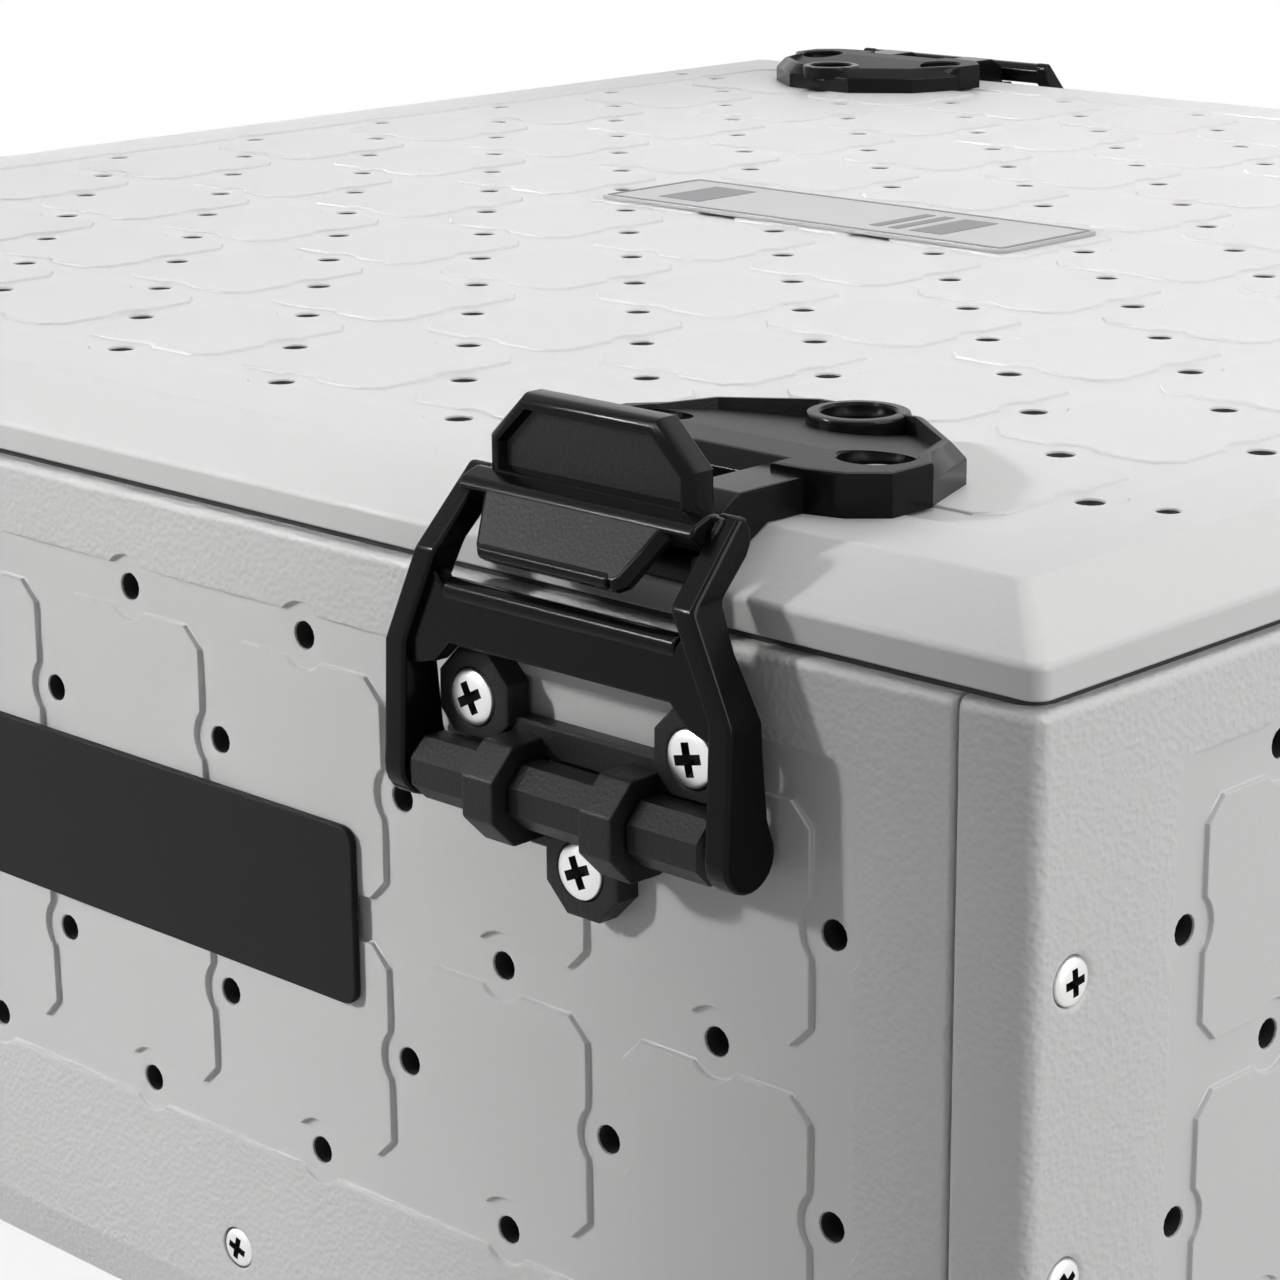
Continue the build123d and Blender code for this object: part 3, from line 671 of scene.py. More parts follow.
def end_wall(shell, lattice):
    """Right end panel: tiled face, slopes with the corner screws' recesses, wrapped round both corners."""
    shape = Shape()
    face = shell.half + lattice.depth
    seam = shell.half - shell.seam
    inner = shell.half - shell.wall
    slope = lattice.depth / shell.facet
    flat = shell.half - shell.facet - shell.facet_round
    wrap_y = face - (seam - (shell.half - shell.facet)) * slope
    angle = math.degrees(math.atan(slope))
    corner = shell.corner_radius * (1 + slope * 0.5)
    centre = shell.half - corner
    r = shell.edge
    front = [
        (seam, -inner),
        *[(seam + r - r * math.cos(t), -(wrap_y - r + r * math.sin(t))) for t in QUARTER],
        *[tuple(p) for p in arc(centre, -centre, corner, -90 + angle, -angle, 6)],
        (face - shell.facet_round * slope * 0.9, -(flat + 2 * shell.facet_round)),
        (face - 0.25 * shell.facet_round * slope, -(flat + shell.facet_round)),
        (face, -flat),
    ]
    plan = np.array(front + [(x, -y) for x, y in reversed(front)] + [(inner, inner), (inner, -inner)])
    push = -miter(plan)
    for i, (x, y) in enumerate(plan):
        if x < seam + r + 0.1 * mm:
            push[i] = (0, 1 if y < 0 else -1)
        if abs(y) <= inner + 1e-6 and x <= inner + 1e-6:
            push[i] = (0, 0)
    face_edge = len(front) - 1
    slope_edges = (len(front) - 4, len(front) + 2)
    back_edge = len(plan) - 2
    low, high, heights = wall_shell(shape, plan, push, shell, {face_edge, back_edge, *slope_edges})
    middle = field_height(shell, lattice)
    heights = [z - middle for z in heights]
    rims, backs = tiled_face(shape, shell, lattice, facing_right(shell.half, 0, middle))
    along = plan[:, 1]
    shape.fill(window(low, high, face_edge, face_edge + 1, along, heights), rims, BORDER)
    for i in slope_edges:
        side = -1 if along[i] < 0 else 1
        rims = []
        for j in range(lattice.rows):
            spot = (side * (shell.half - CORNER_INSET), (j + 0.5 - lattice.rows / 2) * lattice.pitch)
            rims.append(corner_seat(shape, shell, lattice, plan[i:i + 2], spot))
        shape.fill(window(low, high, i, i + 1, along, heights), rims, BORDER)
    shape.fill(window(high, low, back_edge, back_edge + 1, along, heights[::-1]), backs, BORDER, flip=True)
    return shape.mesh()


def lid_mesh(shell, lattice):
    """Lid: rim, rounded slope, tiled flat top, and the tongue and ceiling beneath."""
    shape = Shape()
    up = facing_up(0)
    half = shell.half - shell.lid_inset

    def loop(inset):
        radius = shell.lid_corner * (1 - inset / (3 * shell.lid_slope))
        return rounded_rectangle(half - inset, half - inset, radius, 8)

    section = [(1 * mm, shell.rim_base), (0, shell.rim_base), (0, shell.rim_top), (shell.lid_slope, shell.lid_top),
               (shell.lid_slope + 3 * mm, shell.lid_top)]
    profile = rounded(section, (0.5 * mm, shell.rim_bend, shell.top_bend))
    rings = [shape.ring(loop(inset), z, up) for inset, z in profile]
    for low, high in zip(rings, rings[1:]):
        shape.band(low, high, BORDER)
    deck = facing_up(shell.lid_top - shell.lid_channel)
    ceiling = shell.lid_top - shell.lid_wall
    through = shell.lid_wall - shell.lid_channel
    field = lattice.columns
    rim_ring, backs = tile_field(shape, deck, lattice, field, field, shell.lid_channel, through)
    holes = [rim_ring]
    for u, v in ((-1, -1), (-1, 1), (1, -1), (1, 1)):
        spot = (u * LID_CORNER_HOLE[0], v * LID_CORNER_HOLE[1])
        edge, back = hole(shape, deck, spot, LID_HOLE, shell.lid_channel, through, BORDER)
        holes.append(edge)
        backs.append(back)
    shape.fill(rings[-1], holes, BORDER)
    tongue = shell.half - shell.wall - 1 * mm
    reach = shell.rim_base - shell.tongue_drop
    outer_loop = rounded_rectangle(tongue, tongue, 8 * mm, 8)
    inner_loop = rounded_rectangle(tongue - shell.tongue_wall, tongue - shell.tongue_wall, 6.5 * mm, 8)
    under = [
        shape.ring(outer_loop, shell.rim_base, up),
        shape.ring(outer_loop, reach + 0.5 * mm, up),
        shape.ring(grown(outer_loop, -0.5 * mm), reach, up),
        shape.ring(grown(inner_loop, 0.5 * mm), reach, up),
        shape.ring(inner_loop, reach + 0.5 * mm, up),
        shape.ring(inner_loop, ceiling, up),
    ]
    shape.band(under[0], rings[0], BORDER)
    for first, second in zip(under, under[1:]):
        shape.band(second, first, BORDER)
    shape.fill(under[-1], backs, BORDER, flip=True)
    return shape.mesh()


# ---------------------------------------------------------------- latches
GLOSS, MATT = 0, 1
BASE_SCREWS = ((-25 * mm, 0.0), (25 * mm, 0.0), (0.0, -25 * mm))
CATCH_SCREWS = ((-25 * mm, 39 * mm), (25 * mm, 39 * mm), (0.0, 64 * mm))
BACK = 1 * mm                # back of the latch base, outward from the channel plane
SHOULDER = 9 * mm            # the arms run straight up to here, and lean in from here to the elbow
ELBOW = 26.3 * mm
KNUCKLE = 13.5 * mm          # middle of a knuckle, from the middle of the latch
KNUCKLE_HALF = 3.65 * mm
CATCH_TALL = 7.6             # mm, catch plate above the lid
HOOK_HALF = 3.6 * mm         # half the width of the space that the hook bar lies in
SOCKET = 6.65 * mm           # radius of the screw sockets in the catch plate
SHANK_HOLE = 2.6 * mm


def rod(radius, place, start, end, steps=24, finish=0, edge=0.4 * mm):
    shape = Shape()
    profile = [(g, start + h) for g, h in soft(end - start, edge, 2)]
    shape.stack(circle(radius, count=steps), profile, place, finish)
    return shape


def slab(loop, profile, place, finish=GLOSS, top=None):
    """Mesh of one outline, grown and raised by a profile in mm."""
    shape = Shape()
    shape.stack(loop, [(g * mm, h * mm) for g, h in profile], place, finish, top)
    return shape.mesh()


def axle(latch):
    """Heights run along the pivot, from the middle of the latch."""
    return facing_right(0, latch.pivot_y, latch.pivot_z)


def cranked_arm(latch, side, neck):
    """One arm of the swing frame: cranked in the side view, drawn in to its neck in the front view."""
    foot = arc(latch.pivot_y, latch.pivot_z, 5.9 * mm, 176, 372, 12)
    outline = [(-12.6 * mm, ELBOW), (-12.6 * mm, SHOULDER), (-13.3 * mm, -9 * mm), *[tuple(p) for p in foot]]
    rear = ((-3.5, -7.3), (-4.6, 4.0), (-4.9, 9.0), (-5.9, 19.2), (-5.3, 26.8), (0.9, 32.7), (2.0, 34.6),
            (2.2, 37.2), (1.3, 38.9), (-0.3, 39.3))
    outline += [(y * mm, z * mm) for y, z in rear]
    outline = np.array(outline)

    def outside(z):
        low = latch.half_width
        at = [low, min(low, neck + 0.5 * mm), neck - (0.4 * mm if neck < low else 0)]
        return float(np.interp(z, [SHOULDER, ELBOW, 39 * mm], at))

    shape = Shape()
    rings = []
    for inward in (latch.arm, 0.0):
        rings.append([len(shape.points) + k for k in range(len(outline))])
        shape.points += [np.array([side * (outside(z) - inward), y, z]) for y, z in outline]
    inner, outer = rings
    count = len(outline)
    rear_shoulder = len(foot) + 5
    rear_elbow = rear_shoulder + 2
    low_part = range(1, rear_shoulder + 1)
    lean_part = (0, 1, rear_shoulder, rear_shoulder + 1, rear_elbow)
    top_part = (0, *range(rear_elbow, count))
    for part in (low_part, lean_part, top_part):
        shape.face([outer[k] for k in part][::side], GLOSS)
        shape.face([inner[k] for k in part][::-side], GLOSS)
    for k in range(count):
        n = (k + 1) % count
        shape.face([inner[k], inner[n], outer[n], outer[k]][::side], GLOSS)
    return shape.bevel(latch.edge, 19, 3).mesh()


def grip():
    """Thumb tab with a raised rim, the ledge on the hook bar, and the tapering grip flap with its lip."""
    outline = mirrored([(22.9, 37.0), (22.9, 45.4), (15.0, 53.0)]) * mm
    rim = [(-1.1, 0.0), (-0.35, 0.3), (0.0, 1.0), (0.0, 4.0), (-0.2, 4.8), (-0.7, 5.5), (-1.35, 5.9), (-2.0, 6.0),
           (-2.45, 5.85), (-2.7, 5.4), (-3.1, 4.2)]
    parts = [slab(outline, rim, facing_front(2.4 * mm), GLOSS, MATT)]

    ledge = Shape()
    nose = [(2.0, 34.6), (2.0, 38.3), (-2.8, 39.4), (-6.3, 38.1), (-7.3, 36.6), (-3.2, 33.0)]
    ledge.stack(np.array(nose)[::-1] * mm, [(0, -26.4 * mm), (0, 26.4 * mm)], facing_right(0), GLOSS)
    parts.append(ledge.bevel(0.6 * mm, 20, 3).mesh())

    lean, drop = 0.613, 0.790                  # steps outwards and down along the flap
    root_y, root_z = -6.5 * mm, 37.6 * mm
    down = plane((0, root_y, root_z), (1, 0, 0), (0, lean, drop), (0, -drop, lean))
    face = mirrored([(15.2, -12.0), (17.0, -10.9), (21.4, 0.4)]) * mm
    sides = [(-1.2, -3.6), (-0.4, -3.3), (0.0, -2.6), (0.0, -1.7), (-0.18, -1.5), (-1.0, -0.15), (-1.5, 0.0)]
    parts.append(slab(face, sides, down, GLOSS, MATT))
    along, under = 10.9 * mm, 1.0 * mm         # the lip, down the flap and behind its face
    lip = facing_right(0, root_y - along * lean + under * drop, root_z - along * drop - under * lean)
    parts.append(rod(1.35 * mm, lip, -15.2 * mm, 14.0 * mm, 20, GLOSS, 0.5 * mm).mesh())
    return parts


def swing_frame(latch, tab):
    """One-piece swing frame: arms, web, hook bar and pivot bar, with a tab and a grip flap on the front ones."""
    neck = latch.neck if tab else latch.half_width
    parts = [cranked_arm(latch, -1, neck)]
    bar = Shape()
    profile = [(0, -neck + 3 * mm), (0, neck - 3 * mm)]
    bar.stack(octagon(6.4 * mm), profile, facing_right(0, latch.bar_y, latch.bar_z), GLOSS)
    parts.append(bar.bevel(0.7 * mm, 30, 2).mesh())

    if tab:
        half = [(25.0, 10.3), (28.8, 6.6), (36.3, 4.4), (36.6, 9.0), (30.6, 22.6), (28.6, 22.4), (26.0, 19.6)]
        reach = 26.6 * mm
    else:
        half = [(30.5, 10.3), (34.3, 6.6), (36.6, 4.4), (36.6, 22.6), (34.6, 22.4), (32.0, 19.6)]
        reach = 32.6 * mm
    web = Shape()
    web.stack(mirrored(half) * mm, soft(3.6 * mm, 0.6 * mm), facing_front(-7.4 * mm), GLOSS)
    parts.append(web.mesh())
    roll = facing_right(0, -9.3 * mm, 19.4 * mm)
    parts.append(rod(2.1 * mm, roll, -reach, reach, 28, GLOSS, 0.9 * mm).mesh())
    if tab:
        parts += grip()
    inside_arm = latch.half_width - latch.arm
    journal_end = inside_arm + 1 * mm
    parts.append(rod(latch.journal, axle(latch), -journal_end, journal_end, 32, MATT).mesh())
    at_arm, at_knuckle = inside_arm - 0.2 * mm, KNUCKLE_HALF + 0.35 * mm
    for x0, x1 in ((-at_arm, -KNUCKLE - at_knuckle), (at_knuckle - KNUCKLE, KNUCKLE - at_knuckle),
                   (KNUCKLE + at_knuckle, at_arm)):
        low = 1.5 * mm if x0 == -at_arm else 0.3 * mm
        high = 1.5 * mm if x1 == at_arm else 0.3 * mm
        run = Shape()
        run.stack(octagon(11 * mm), [(-low, x0), (0, x0 + low), (0, x1 - high), (-high, x1)], axle(latch), MATT)
        parts.append(run.mesh())
    return combine(cranked_arm(latch, 1, neck), parts)


def base_mesh(latch):
    """Latch base: three screw ears, bridges between them and two octagonal knuckles."""
    parts = []
    front = facing_front(-BACK)
    for x, z in BASE_SCREWS:
        parts.append(slab(octagon(17 * mm, x, z), [(0, 0), (0, 4.0), (-0.35, 4.7), (-1.0, 5.0)], front, MATT))
    for low, high, half in ((4.5, 11, 25), (-10.5, -4.5, 13.5)):
        bridge = mirrored([(half * mm, latch.pivot_z + low * mm), (half * mm, latch.pivot_z + high * mm)])
        parts.append(slab(bridge, [(0, 0), (0, 3), (-0.5, 3.5)], front, MATT))
    body = combine(parts[0], parts[1:])
    pivot = axle(latch)
    body = combine(body, [rod(6.55 * mm, pivot, -50 * mm, 50 * mm, 40).mesh()], "DIFFERENCE")
    flat = -BACK - latch.pivot_y
    a = 8.75 * mm
    b = a * (math.sqrt(2) - 1)
    cut = a + b - flat
    section = [(flat, -cut), (flat, cut), (b, a), (-b, a), (-a, b), (-a, -b), (-b, -a), (b, -a)]
    knuckles = []
    for x in (-KNUCKLE, KNUCKLE):
        knuckle = Shape()
        knuckle.stack(np.array(section), [(0, x - KNUCKLE_HALF), (0, x + KNUCKLE_HALF)], pivot, MATT)
        knuckles.append(knuckle.bevel(0.55 * mm, 30, 2).mesh())
    body = combine(body, knuckles)
    bore = latch.journal + latch.fit
    slot = [(0.0, -bore), (flat + 1 * mm, -bore), (flat + 1 * mm, bore), (0.0, bore)]
    cuts = [rod(bore, pivot, -51 * mm, 51 * mm, 40).mesh(), prism(slot, -50 * mm, 50 * mm, pivot).mesh()]
    for x, z in BASE_SCREWS:
        seat = plane((x, -BACK, z), (1, 0, 0), (0, 0, 1), (0, -1, 0))
        cuts.append(slab(circle(5.2 * mm, count=36), [(0, 3.6), (0, 4.7), (0.5, 5.3)], seat, MATT))
        cuts.append(rod(SHANK_HOLE, seat, -1 * mm, 6 * mm, 20).mesh())
    return combine(body, cuts, "DIFFERENCE")


def catch_mesh(latch, deck):
    """Catch plate on the lid: bevelled, with a raised rim, three screw sockets and two hook arms."""
    tall = CATCH_TALL
    up = facing_up(deck)
    outline = mirrored([(22.4, 25.4), (31.5, 29.0), (35.0, 40.6), (28.8, 58.0), (12.4, 70.2)]) * mm
    profile = [(0.0, 0.0), (0.0, tall - 3.4), (-0.25, tall - 2.9), (-2.6, tall - 0.3), (-3.2, tall)]
    plate = slab(outline, profile, up, GLOSS, MATT)
    block = np.array([(15, 24), (22.4, 24), (29.5, 26), (35, 31.2), (35, 41.5), (29.5, 48), (15, 48)]) * mm
    edge = [(0, 0.01), (0, tall - 0.7), (-0.2, tall - 0.2), (-0.7, tall)]
    parts = [slab((block * (side, 1))[::side], edge, up, GLOSS, MATT) for side in (-1, 1)]
    top = deck + 6.3 * mm
    low = latch.bar_z - HOOK_HALF
    front, rear = latch.bar_y - 2 * mm, latch.bar_y + HOOK_HALF
    rim_z = 25.5 * mm
    side_view = [
        (33 * mm, deck), (33 * mm, top), (latch.bar_y + 9 * mm, top), (latch.bar_y + 5.6 * mm, top - 1.8 * mm),
        (rear, latch.bar_z + 1.2 * mm), (rear, low + 0.9 * mm), (rear - 0.9 * mm, low),
        (front + 0.4 * mm, low), (front, low - 0.8 * mm), (front, rim_z + 1.8 * mm),
        (0.5 * mm, rim_z + 0.3 * mm), (15.5 * mm, deck + 0.2 * mm), (18.5 * mm, deck),
    ]
    for side in (-1, 1):
        x0, x1 = sorted((side * 11.4 * mm, side * 22.4 * mm))
        arm = Shape()
        arm.stack(np.array(side_view)[::-1], [(0, x0), (0, x1)], facing_right(0), GLOSS)
        parts.append(arm.bevel(0.45 * mm, 24, 2).mesh())
    body = combine(plate, parts)
    sunk = Shape()
    floor = mirrored([(30.6, 37.5), (30.9, 41.0), (25.4, 55.6), (11.0, 66.2)]) * mm
    slope = 3.4 / 28.7

    def sinking(a, b, h):
        drop = slope * (b - floor[0][1]) if h < 0 else -h
        return np.array([a, b, deck + tall * mm - drop])

    sloped = sunk.ring(floor, -1, sinking)
    over = sunk.ring(floor, 0.1 * mm, sinking)
    sunk.band(sloped, over, MATT)
    sunk.cap(sloped, MATT, under=True)
    sunk.cap(over, MATT)
    body = combine(body, [sunk.mesh()], "DIFFERENCE")
    x, y = CATCH_SCREWS[2]
    ring = [(0, 3.8), (0, tall - 0.7), (-0.25, tall - 0.2), (-0.8, tall)]
    body = combine(body, [slab(circle(9.25 * mm, x, y, 40), ring, up)])
    cuts = []
    for x, y in CATCH_SCREWS:
        seat = plane((x, y, deck), (1, 0, 0), (0, 1, 0), (0, 0, 1))
        cuts.append(slab(circle(SOCKET, count=40), [(0, tall - 4.4), (0, tall - 0.5), (0.5, tall + 0.1)], seat))
        cuts.append(rod(SHANK_HOLE, seat, -1 * mm, 6 * mm, 20).mesh())
    return combine(body, cuts, "DIFFERENCE")


# The cross recess's faces take a near-black finish: painted shade for the shade in the recess.
RECESS_PAINTED_SHADE = 1                   # finish of a screw's cross recess


def screw_mesh(head, height, shank_length):
    """Pan-head screw along -z from the underside of its head, with a cross recess whose faces carry painted shade.
    """
    up = facing_up(0)
    shape = Shape()
    r = head / 2
    dome = [(0.0, 0.0), (0.0, 0.55 * height), (-0.04 * r, 0.74 * height), (-0.13 * r, 0.88 * height),
            (-0.30 * r, 0.96 * height), (-0.55 * r, height)]
    shape.stack(circle(r, count=36), dome, up)
    shank = rod(2.45 * mm, up, -shank_length, 0.2 * mm, 16).mesh()
    body = combine(shape.mesh(), [shank])
    cuts = []
    wide, reach, deep = 0.09 * head, 0.30 * head, 1.9 * mm
    for u, v in (((1, 0, 0), (0, 1, 0)), ((0, 1, 0), (-1, 0, 0))):
        bit = Shape()
        seat = plane((0, 0, 0), u, v, (0, 0, 1))
        rings = []
        for share, z in ((0.5, height - deep), (0.94, height - 0.25 * mm), (1.0, height + 0.3 * mm)):
            half = [(share * reach, -share * wide), (share * reach, share * wide)]
            rings.append(bit.ring(mirrored(half), z, seat))
        for low, high in zip(rings, rings[1:]):
            bit.band(low, high, RECESS_PAINTED_SHADE)
        bit.cap(rings[0], RECESS_PAINTED_SHADE, under=True)
        bit.cap(rings[-1], RECESS_PAINTED_SHADE)
        cuts.append(bit.mesh())
    return combine(body, cuts, "DIFFERENCE")


# ---------------------------------------------------------------- materials
def link(tree, source, output, target, socket):
    tree.links.new(source.outputs[output], target.inputs[socket])


def math_node(tree, operation, first=None, second=None):
    node = tree.nodes.new("ShaderNodeMath")
    node.operation = operation
    for k, value in enumerate((first, second)):
        if isinstance(value, (int, float)):
            node.inputs[k].default_value = value
        elif value is not None:
            tree.links.new(value, node.inputs[k])
    return node.outputs[0]


def new_group(name, inputs, outputs):
    group = bpy.data.node_groups.new(name, "ShaderNodeTree")
    for label, kind, value in inputs:
        socket = group.interface.new_socket(name=label, in_out="INPUT", socket_type=kind)
        if value is not None:
            socket.default_value = value
    for label, kind in outputs:
        group.interface.new_socket(name=label, in_out="OUTPUT", socket_type=kind)
    return group, group.nodes.new("NodeGroupInput"), group.nodes.new("NodeGroupOutput")


def grain_group():
    """Leather-like grain of a spark-eroded mould: height, and a fine tone that follows it."""
    group, given, out = new_group(
        "moulded_grain",
        [("Vector", "NodeSocketVector", None), ("Scale", "NodeSocketFloat", 1200.0),
         ("Coarseness", "NodeSocketFloat", 0.5)],
        [("Height", "NodeSocketFloat"), ("Tone", "NodeSocketFloat")],
    )
    cells = group.nodes.new("ShaderNodeTexVoronoi")
    cells.feature = "SMOOTH_F1"
    cells.inputs["Smoothness"].default_value = 0.6
    noise = group.nodes.new("ShaderNodeTexNoise")
    noise.inputs["Detail"].default_value = 3.0
    for node in (cells, noise):
        link(group, given, "Vector", node, "Vector")
        link(group, given, "Scale", node, "Scale")
    mix = group.nodes.new("ShaderNodeMix")
    link(group, given, "Coarseness", mix, 0)
    group.links.new(noise.outputs[0], mix.inputs[2])
    group.links.new(cells.outputs["Distance"], mix.inputs[3])
    group.links.new(mix.outputs[0], out.inputs["Height"])
    group.links.new(math_node(group, "SUBTRACT", mix.outputs[0], 0.5), out.inputs["Tone"])
    return group


def variation_group():
    """Slow, faint unevenness of a moulded face, with thin flow streaks."""
    group, given, out = new_group(
        "flow_marks",
        [("Vector", "NodeSocketVector", None), ("Scale", "NodeSocketFloat", 9.0)],
        [("Cloud", "NodeSocketFloat"), ("Streak", "NodeSocketFloat")],
    )
    cloud = group.nodes.new("ShaderNodeTexNoise")
    cloud.inputs["Detail"].default_value = 2.0
    link(group, given, "Vector", cloud, "Vector")
    link(group, given, "Scale", cloud, "Scale")
    group.links.new(math_node(group, "SUBTRACT", cloud.outputs[0], 0.5), out.inputs["Cloud"])
    stretch = group.nodes.new("ShaderNodeMapping")
    stretch.inputs["Scale"].default_value = (0.35, 1.0, 5.0)
    link(group, given, "Vector", stretch, "Vector")
    streak = group.nodes.new("ShaderNodeTexNoise")
    streak.inputs["Detail"].default_value = 4.0
    link(group, stretch, "Vector", streak, "Vector")
    scale = math_node(group, "MULTIPLY", given.outputs["Scale"], 4.0)
    group.links.new(scale, streak.inputs["Scale"])
    group.links.new(math_node(group, "SUBTRACT", streak.outputs[0], 0.5), out.inputs["Streak"])
    return group


def effect(name):
    if name not in bpy.data.node_groups:
        {"moulded_grain": grain_group, "flow_marks": variation_group}[name]()
    return bpy.data.node_groups[name]


def moulded(name, tint, roughness, scale, coarseness, bump, tone=0.05, gloss_play=0.05, specular=0.5, metallic=0.0):
    """A plastic, rubber or metal finish with grain, slow unevenness and a bump in mm."""
    material = bpy.data.materials.new(name)
    material.use_nodes = True
    tree = material.node_tree
    shader = tree.nodes["Principled BSDF"]
    shader.inputs["Metallic"].default_value = metallic
    shader.inputs["Specular IOR Level"].default_value = specular
    place = tree.nodes.new("ShaderNodeTexCoord")
    grain, marks = (tree.nodes.new("ShaderNodeGroup") for _ in range(2))
    grain.node_tree = effect("moulded_grain")
    marks.node_tree = effect("flow_marks")
    grain.inputs["Scale"].default_value = scale
    grain.inputs["Coarseness"].default_value = coarseness
    for node in (grain, marks):
        link(tree, place, "Object", node, "Vector")
    uneven = math_node(tree, "MULTIPLY", marks.outputs["Cloud"], tone)
    fine = math_node(tree, "MULTIPLY", grain.outputs["Tone"], tone * 0.6)
    level = math_node(tree, "ADD", math_node(tree, "ADD", uneven, fine), 1.0)
    shade = tree.nodes.new("ShaderNodeVectorMath")
    shade.operation = "SCALE"
    shade.inputs[0].default_value = tuple(tint)
    tree.links.new(level, shade.inputs["Scale"])
    link(tree, shade, 0, shader, "Base Color")
    play = math_node(tree, "ADD", math_node(tree, "MULTIPLY", marks.outputs["Streak"], gloss_play), roughness)
    tree.links.new(play, shader.inputs["Roughness"])
    relief = tree.nodes.new("ShaderNodeBump")
    relief.inputs["Strength"].default_value = 1.0
    relief.inputs["Distance"].default_value = bump * mm
    link(tree, grain, "Height", relief, "Height")
    link(tree, relief, 0, shader, "Normal")
    return material


# Colour, its brightness, then what moulded takes: roughness, grain scale, coarseness, bump, tone, gloss play,
# specular level and metallic. Names are not those of the frame's own materials.
FINISH_TABLE = {
    "shell_border": ("shell", 1, 0.46, 850, 0.75, 0.26, 0.07),
    "shell_tile": ("shell", 1, 0.42, 1500, 0.4, 0.045, 0.05),
    "shell_channel": ("shell", 1, 0.38, 1200, 0.2, 0.010, 0.04),
    # bolt_bore: painted shade inside the holes, not the plastic's own colour.
    "bolt_bore": ("bore", 1, 0.6, 1200, 0.3, 0.02, 0.04),
    "lid_border": ("shell", 1, 0.44, 1000, 0.5, 0.030, 0.06),
    "lid_tile": ("shell", 1, 0.44, 1300, 0.5, 0.060, 0.05),
    "latch_gloss": ("latch", 1, 0.20, 700, 0.2, 0.012, 0.3, 0.12, 0.10),
    "latch_matt": ("latch", 2, 0.46, 1500, 0.6, 0.09, 0.4, 0.08, 0.22),
    "screw_zinc": ("steel", 1, 0.36, 900, 0.3, 0.012, 0.10, 0.12, 0.5, 1.0),
    # screw_recess: painted shade in the cross recess of the zinc screws.
    "screw_recess": ("recess", 1, 0.6, 900, 0.3, 0.01, 0.2, 0.1, 0.2),
    "plate_satin": ("plate", 1, 0.5, 2500, 0.3, 0.012, 0.15, 0.05, 0.10),
    "badge_satin": ("badge", 1, 0.4, 2000, 0.3, 0.010, 0.05),
    "badge_stripe": ("stripe", 1, 0.45, 2000, 0.3, 0.010, 0.05),
    # seal_foam: black rubber seal, its black also painted shade in the seam under the lid.
    "seal_foam": ("seal", 1, 0.6, 900, 0.5, 0.05, 0.3),
    "floor_tray": ("shell", 1, 0.5, 1000, 0.5, 0.03, 0.05),
}


def finish(name):
    """The finish of that name, made on first use."""
    if name not in bpy.data.materials:
        tint, brightness, *settings = FINISH_TABLE[name]
        colour_set = getattr(bpy.context.scene.box_colours, tint)
        moulded(name, [x * brightness for x in colour_set], *settings)
    return bpy.data.materials[name]


def finishes(*names):
    return [finish(name) for name in names]


# ---------------------------------------------------------------- operators
def sizes(context):
    scene = context.scene
    return scene.box_shell, scene.box_lattice, scene.box_latch




def latch_place(context, corner):
    """Where a latch stands: the front ones as drawn, the rear ones turned half round."""
    shell, _, latch = sizes(context)
    end, side = corner.split("_")
    x = -latch.offset if side == "left" else latch.offset
    if end == "rear":
        return HALF_TURN @ Matrix.Translation((-x, -shell.half, shell.top_row))
    return Matrix.Translation((x, -shell.half, shell.top_row))


class BOX_OT_long_panels(bpy.types.Operator):
    """Front and rear panels with tiles, channels and bolt holes"""
    bl_idname = "box.long_panels"
    bl_label = "Front and rear panels"

    def execute(self, context):
        shell, lattice, _ = sizes(context)
        mesh = long_panel(shell, lattice)
        looks = finishes("shell_border", "shell_tile", "shell_channel", "bolt_bore")
        add_piece("front_wall", mesh, looks, "case", ["front_panel"])
        add_piece("rear_wall", mesh, looks, "case", ["rear_panel"], HALF_TURN)
        return {"FINISHED"}


class BOX_OT_end_panels(bpy.types.Operator):
    """End panels, wrapped round the corners, with recesses for the corner screws"""
    bl_idname = "box.end_panels"
    bl_label = "End panels"

    def execute(self, context):
        shell, lattice, _ = sizes(context)
        mesh = end_wall(shell, lattice)
        looks = finishes("shell_border", "shell_tile", "shell_channel", "bolt_bore")
        add_piece("right_wall", mesh, looks, "case", ["right_end_panel"])
        add_piece("left_wall", mesh, looks, "case", ["left_end_panel"], HALF_TURN)
        return {"FINISHED"}


class BOX_OT_lid(bpy.types.Operator):
    """Lid with its slope, tiled top and tongue"""
    bl_idname = "box.lid"
    bl_label = "Lid"

    def execute(self, context):
        shell, lattice, _ = sizes(context)
        mesh = lid_mesh(shell, lattice)
        looks = finishes("lid_border", "lid_tile", "shell_channel", "bolt_bore")
        add_piece("lid_top", mesh, looks, "lid", ["lid_shell"])
        return {"FINISHED"}


class BOX_OT_kept_parts(bpy.types.Operator):
    """Floor tray and seal, kept from the frame with their own finish; the seal's black is also painted shade in the
    seam.
    """
    bl_idname = "box.kept_parts"
    bl_label = "Floor tray and seal"

    def execute(self, context):
        for node, name in (("floor_panel", "floor_tray"), ("lid_seal", "seal_foam")):
            mesh = frame["nodes"][node].data
            mesh.materials.clear()
            mesh.materials.append(finish(name))
        return {"FINISHED"}


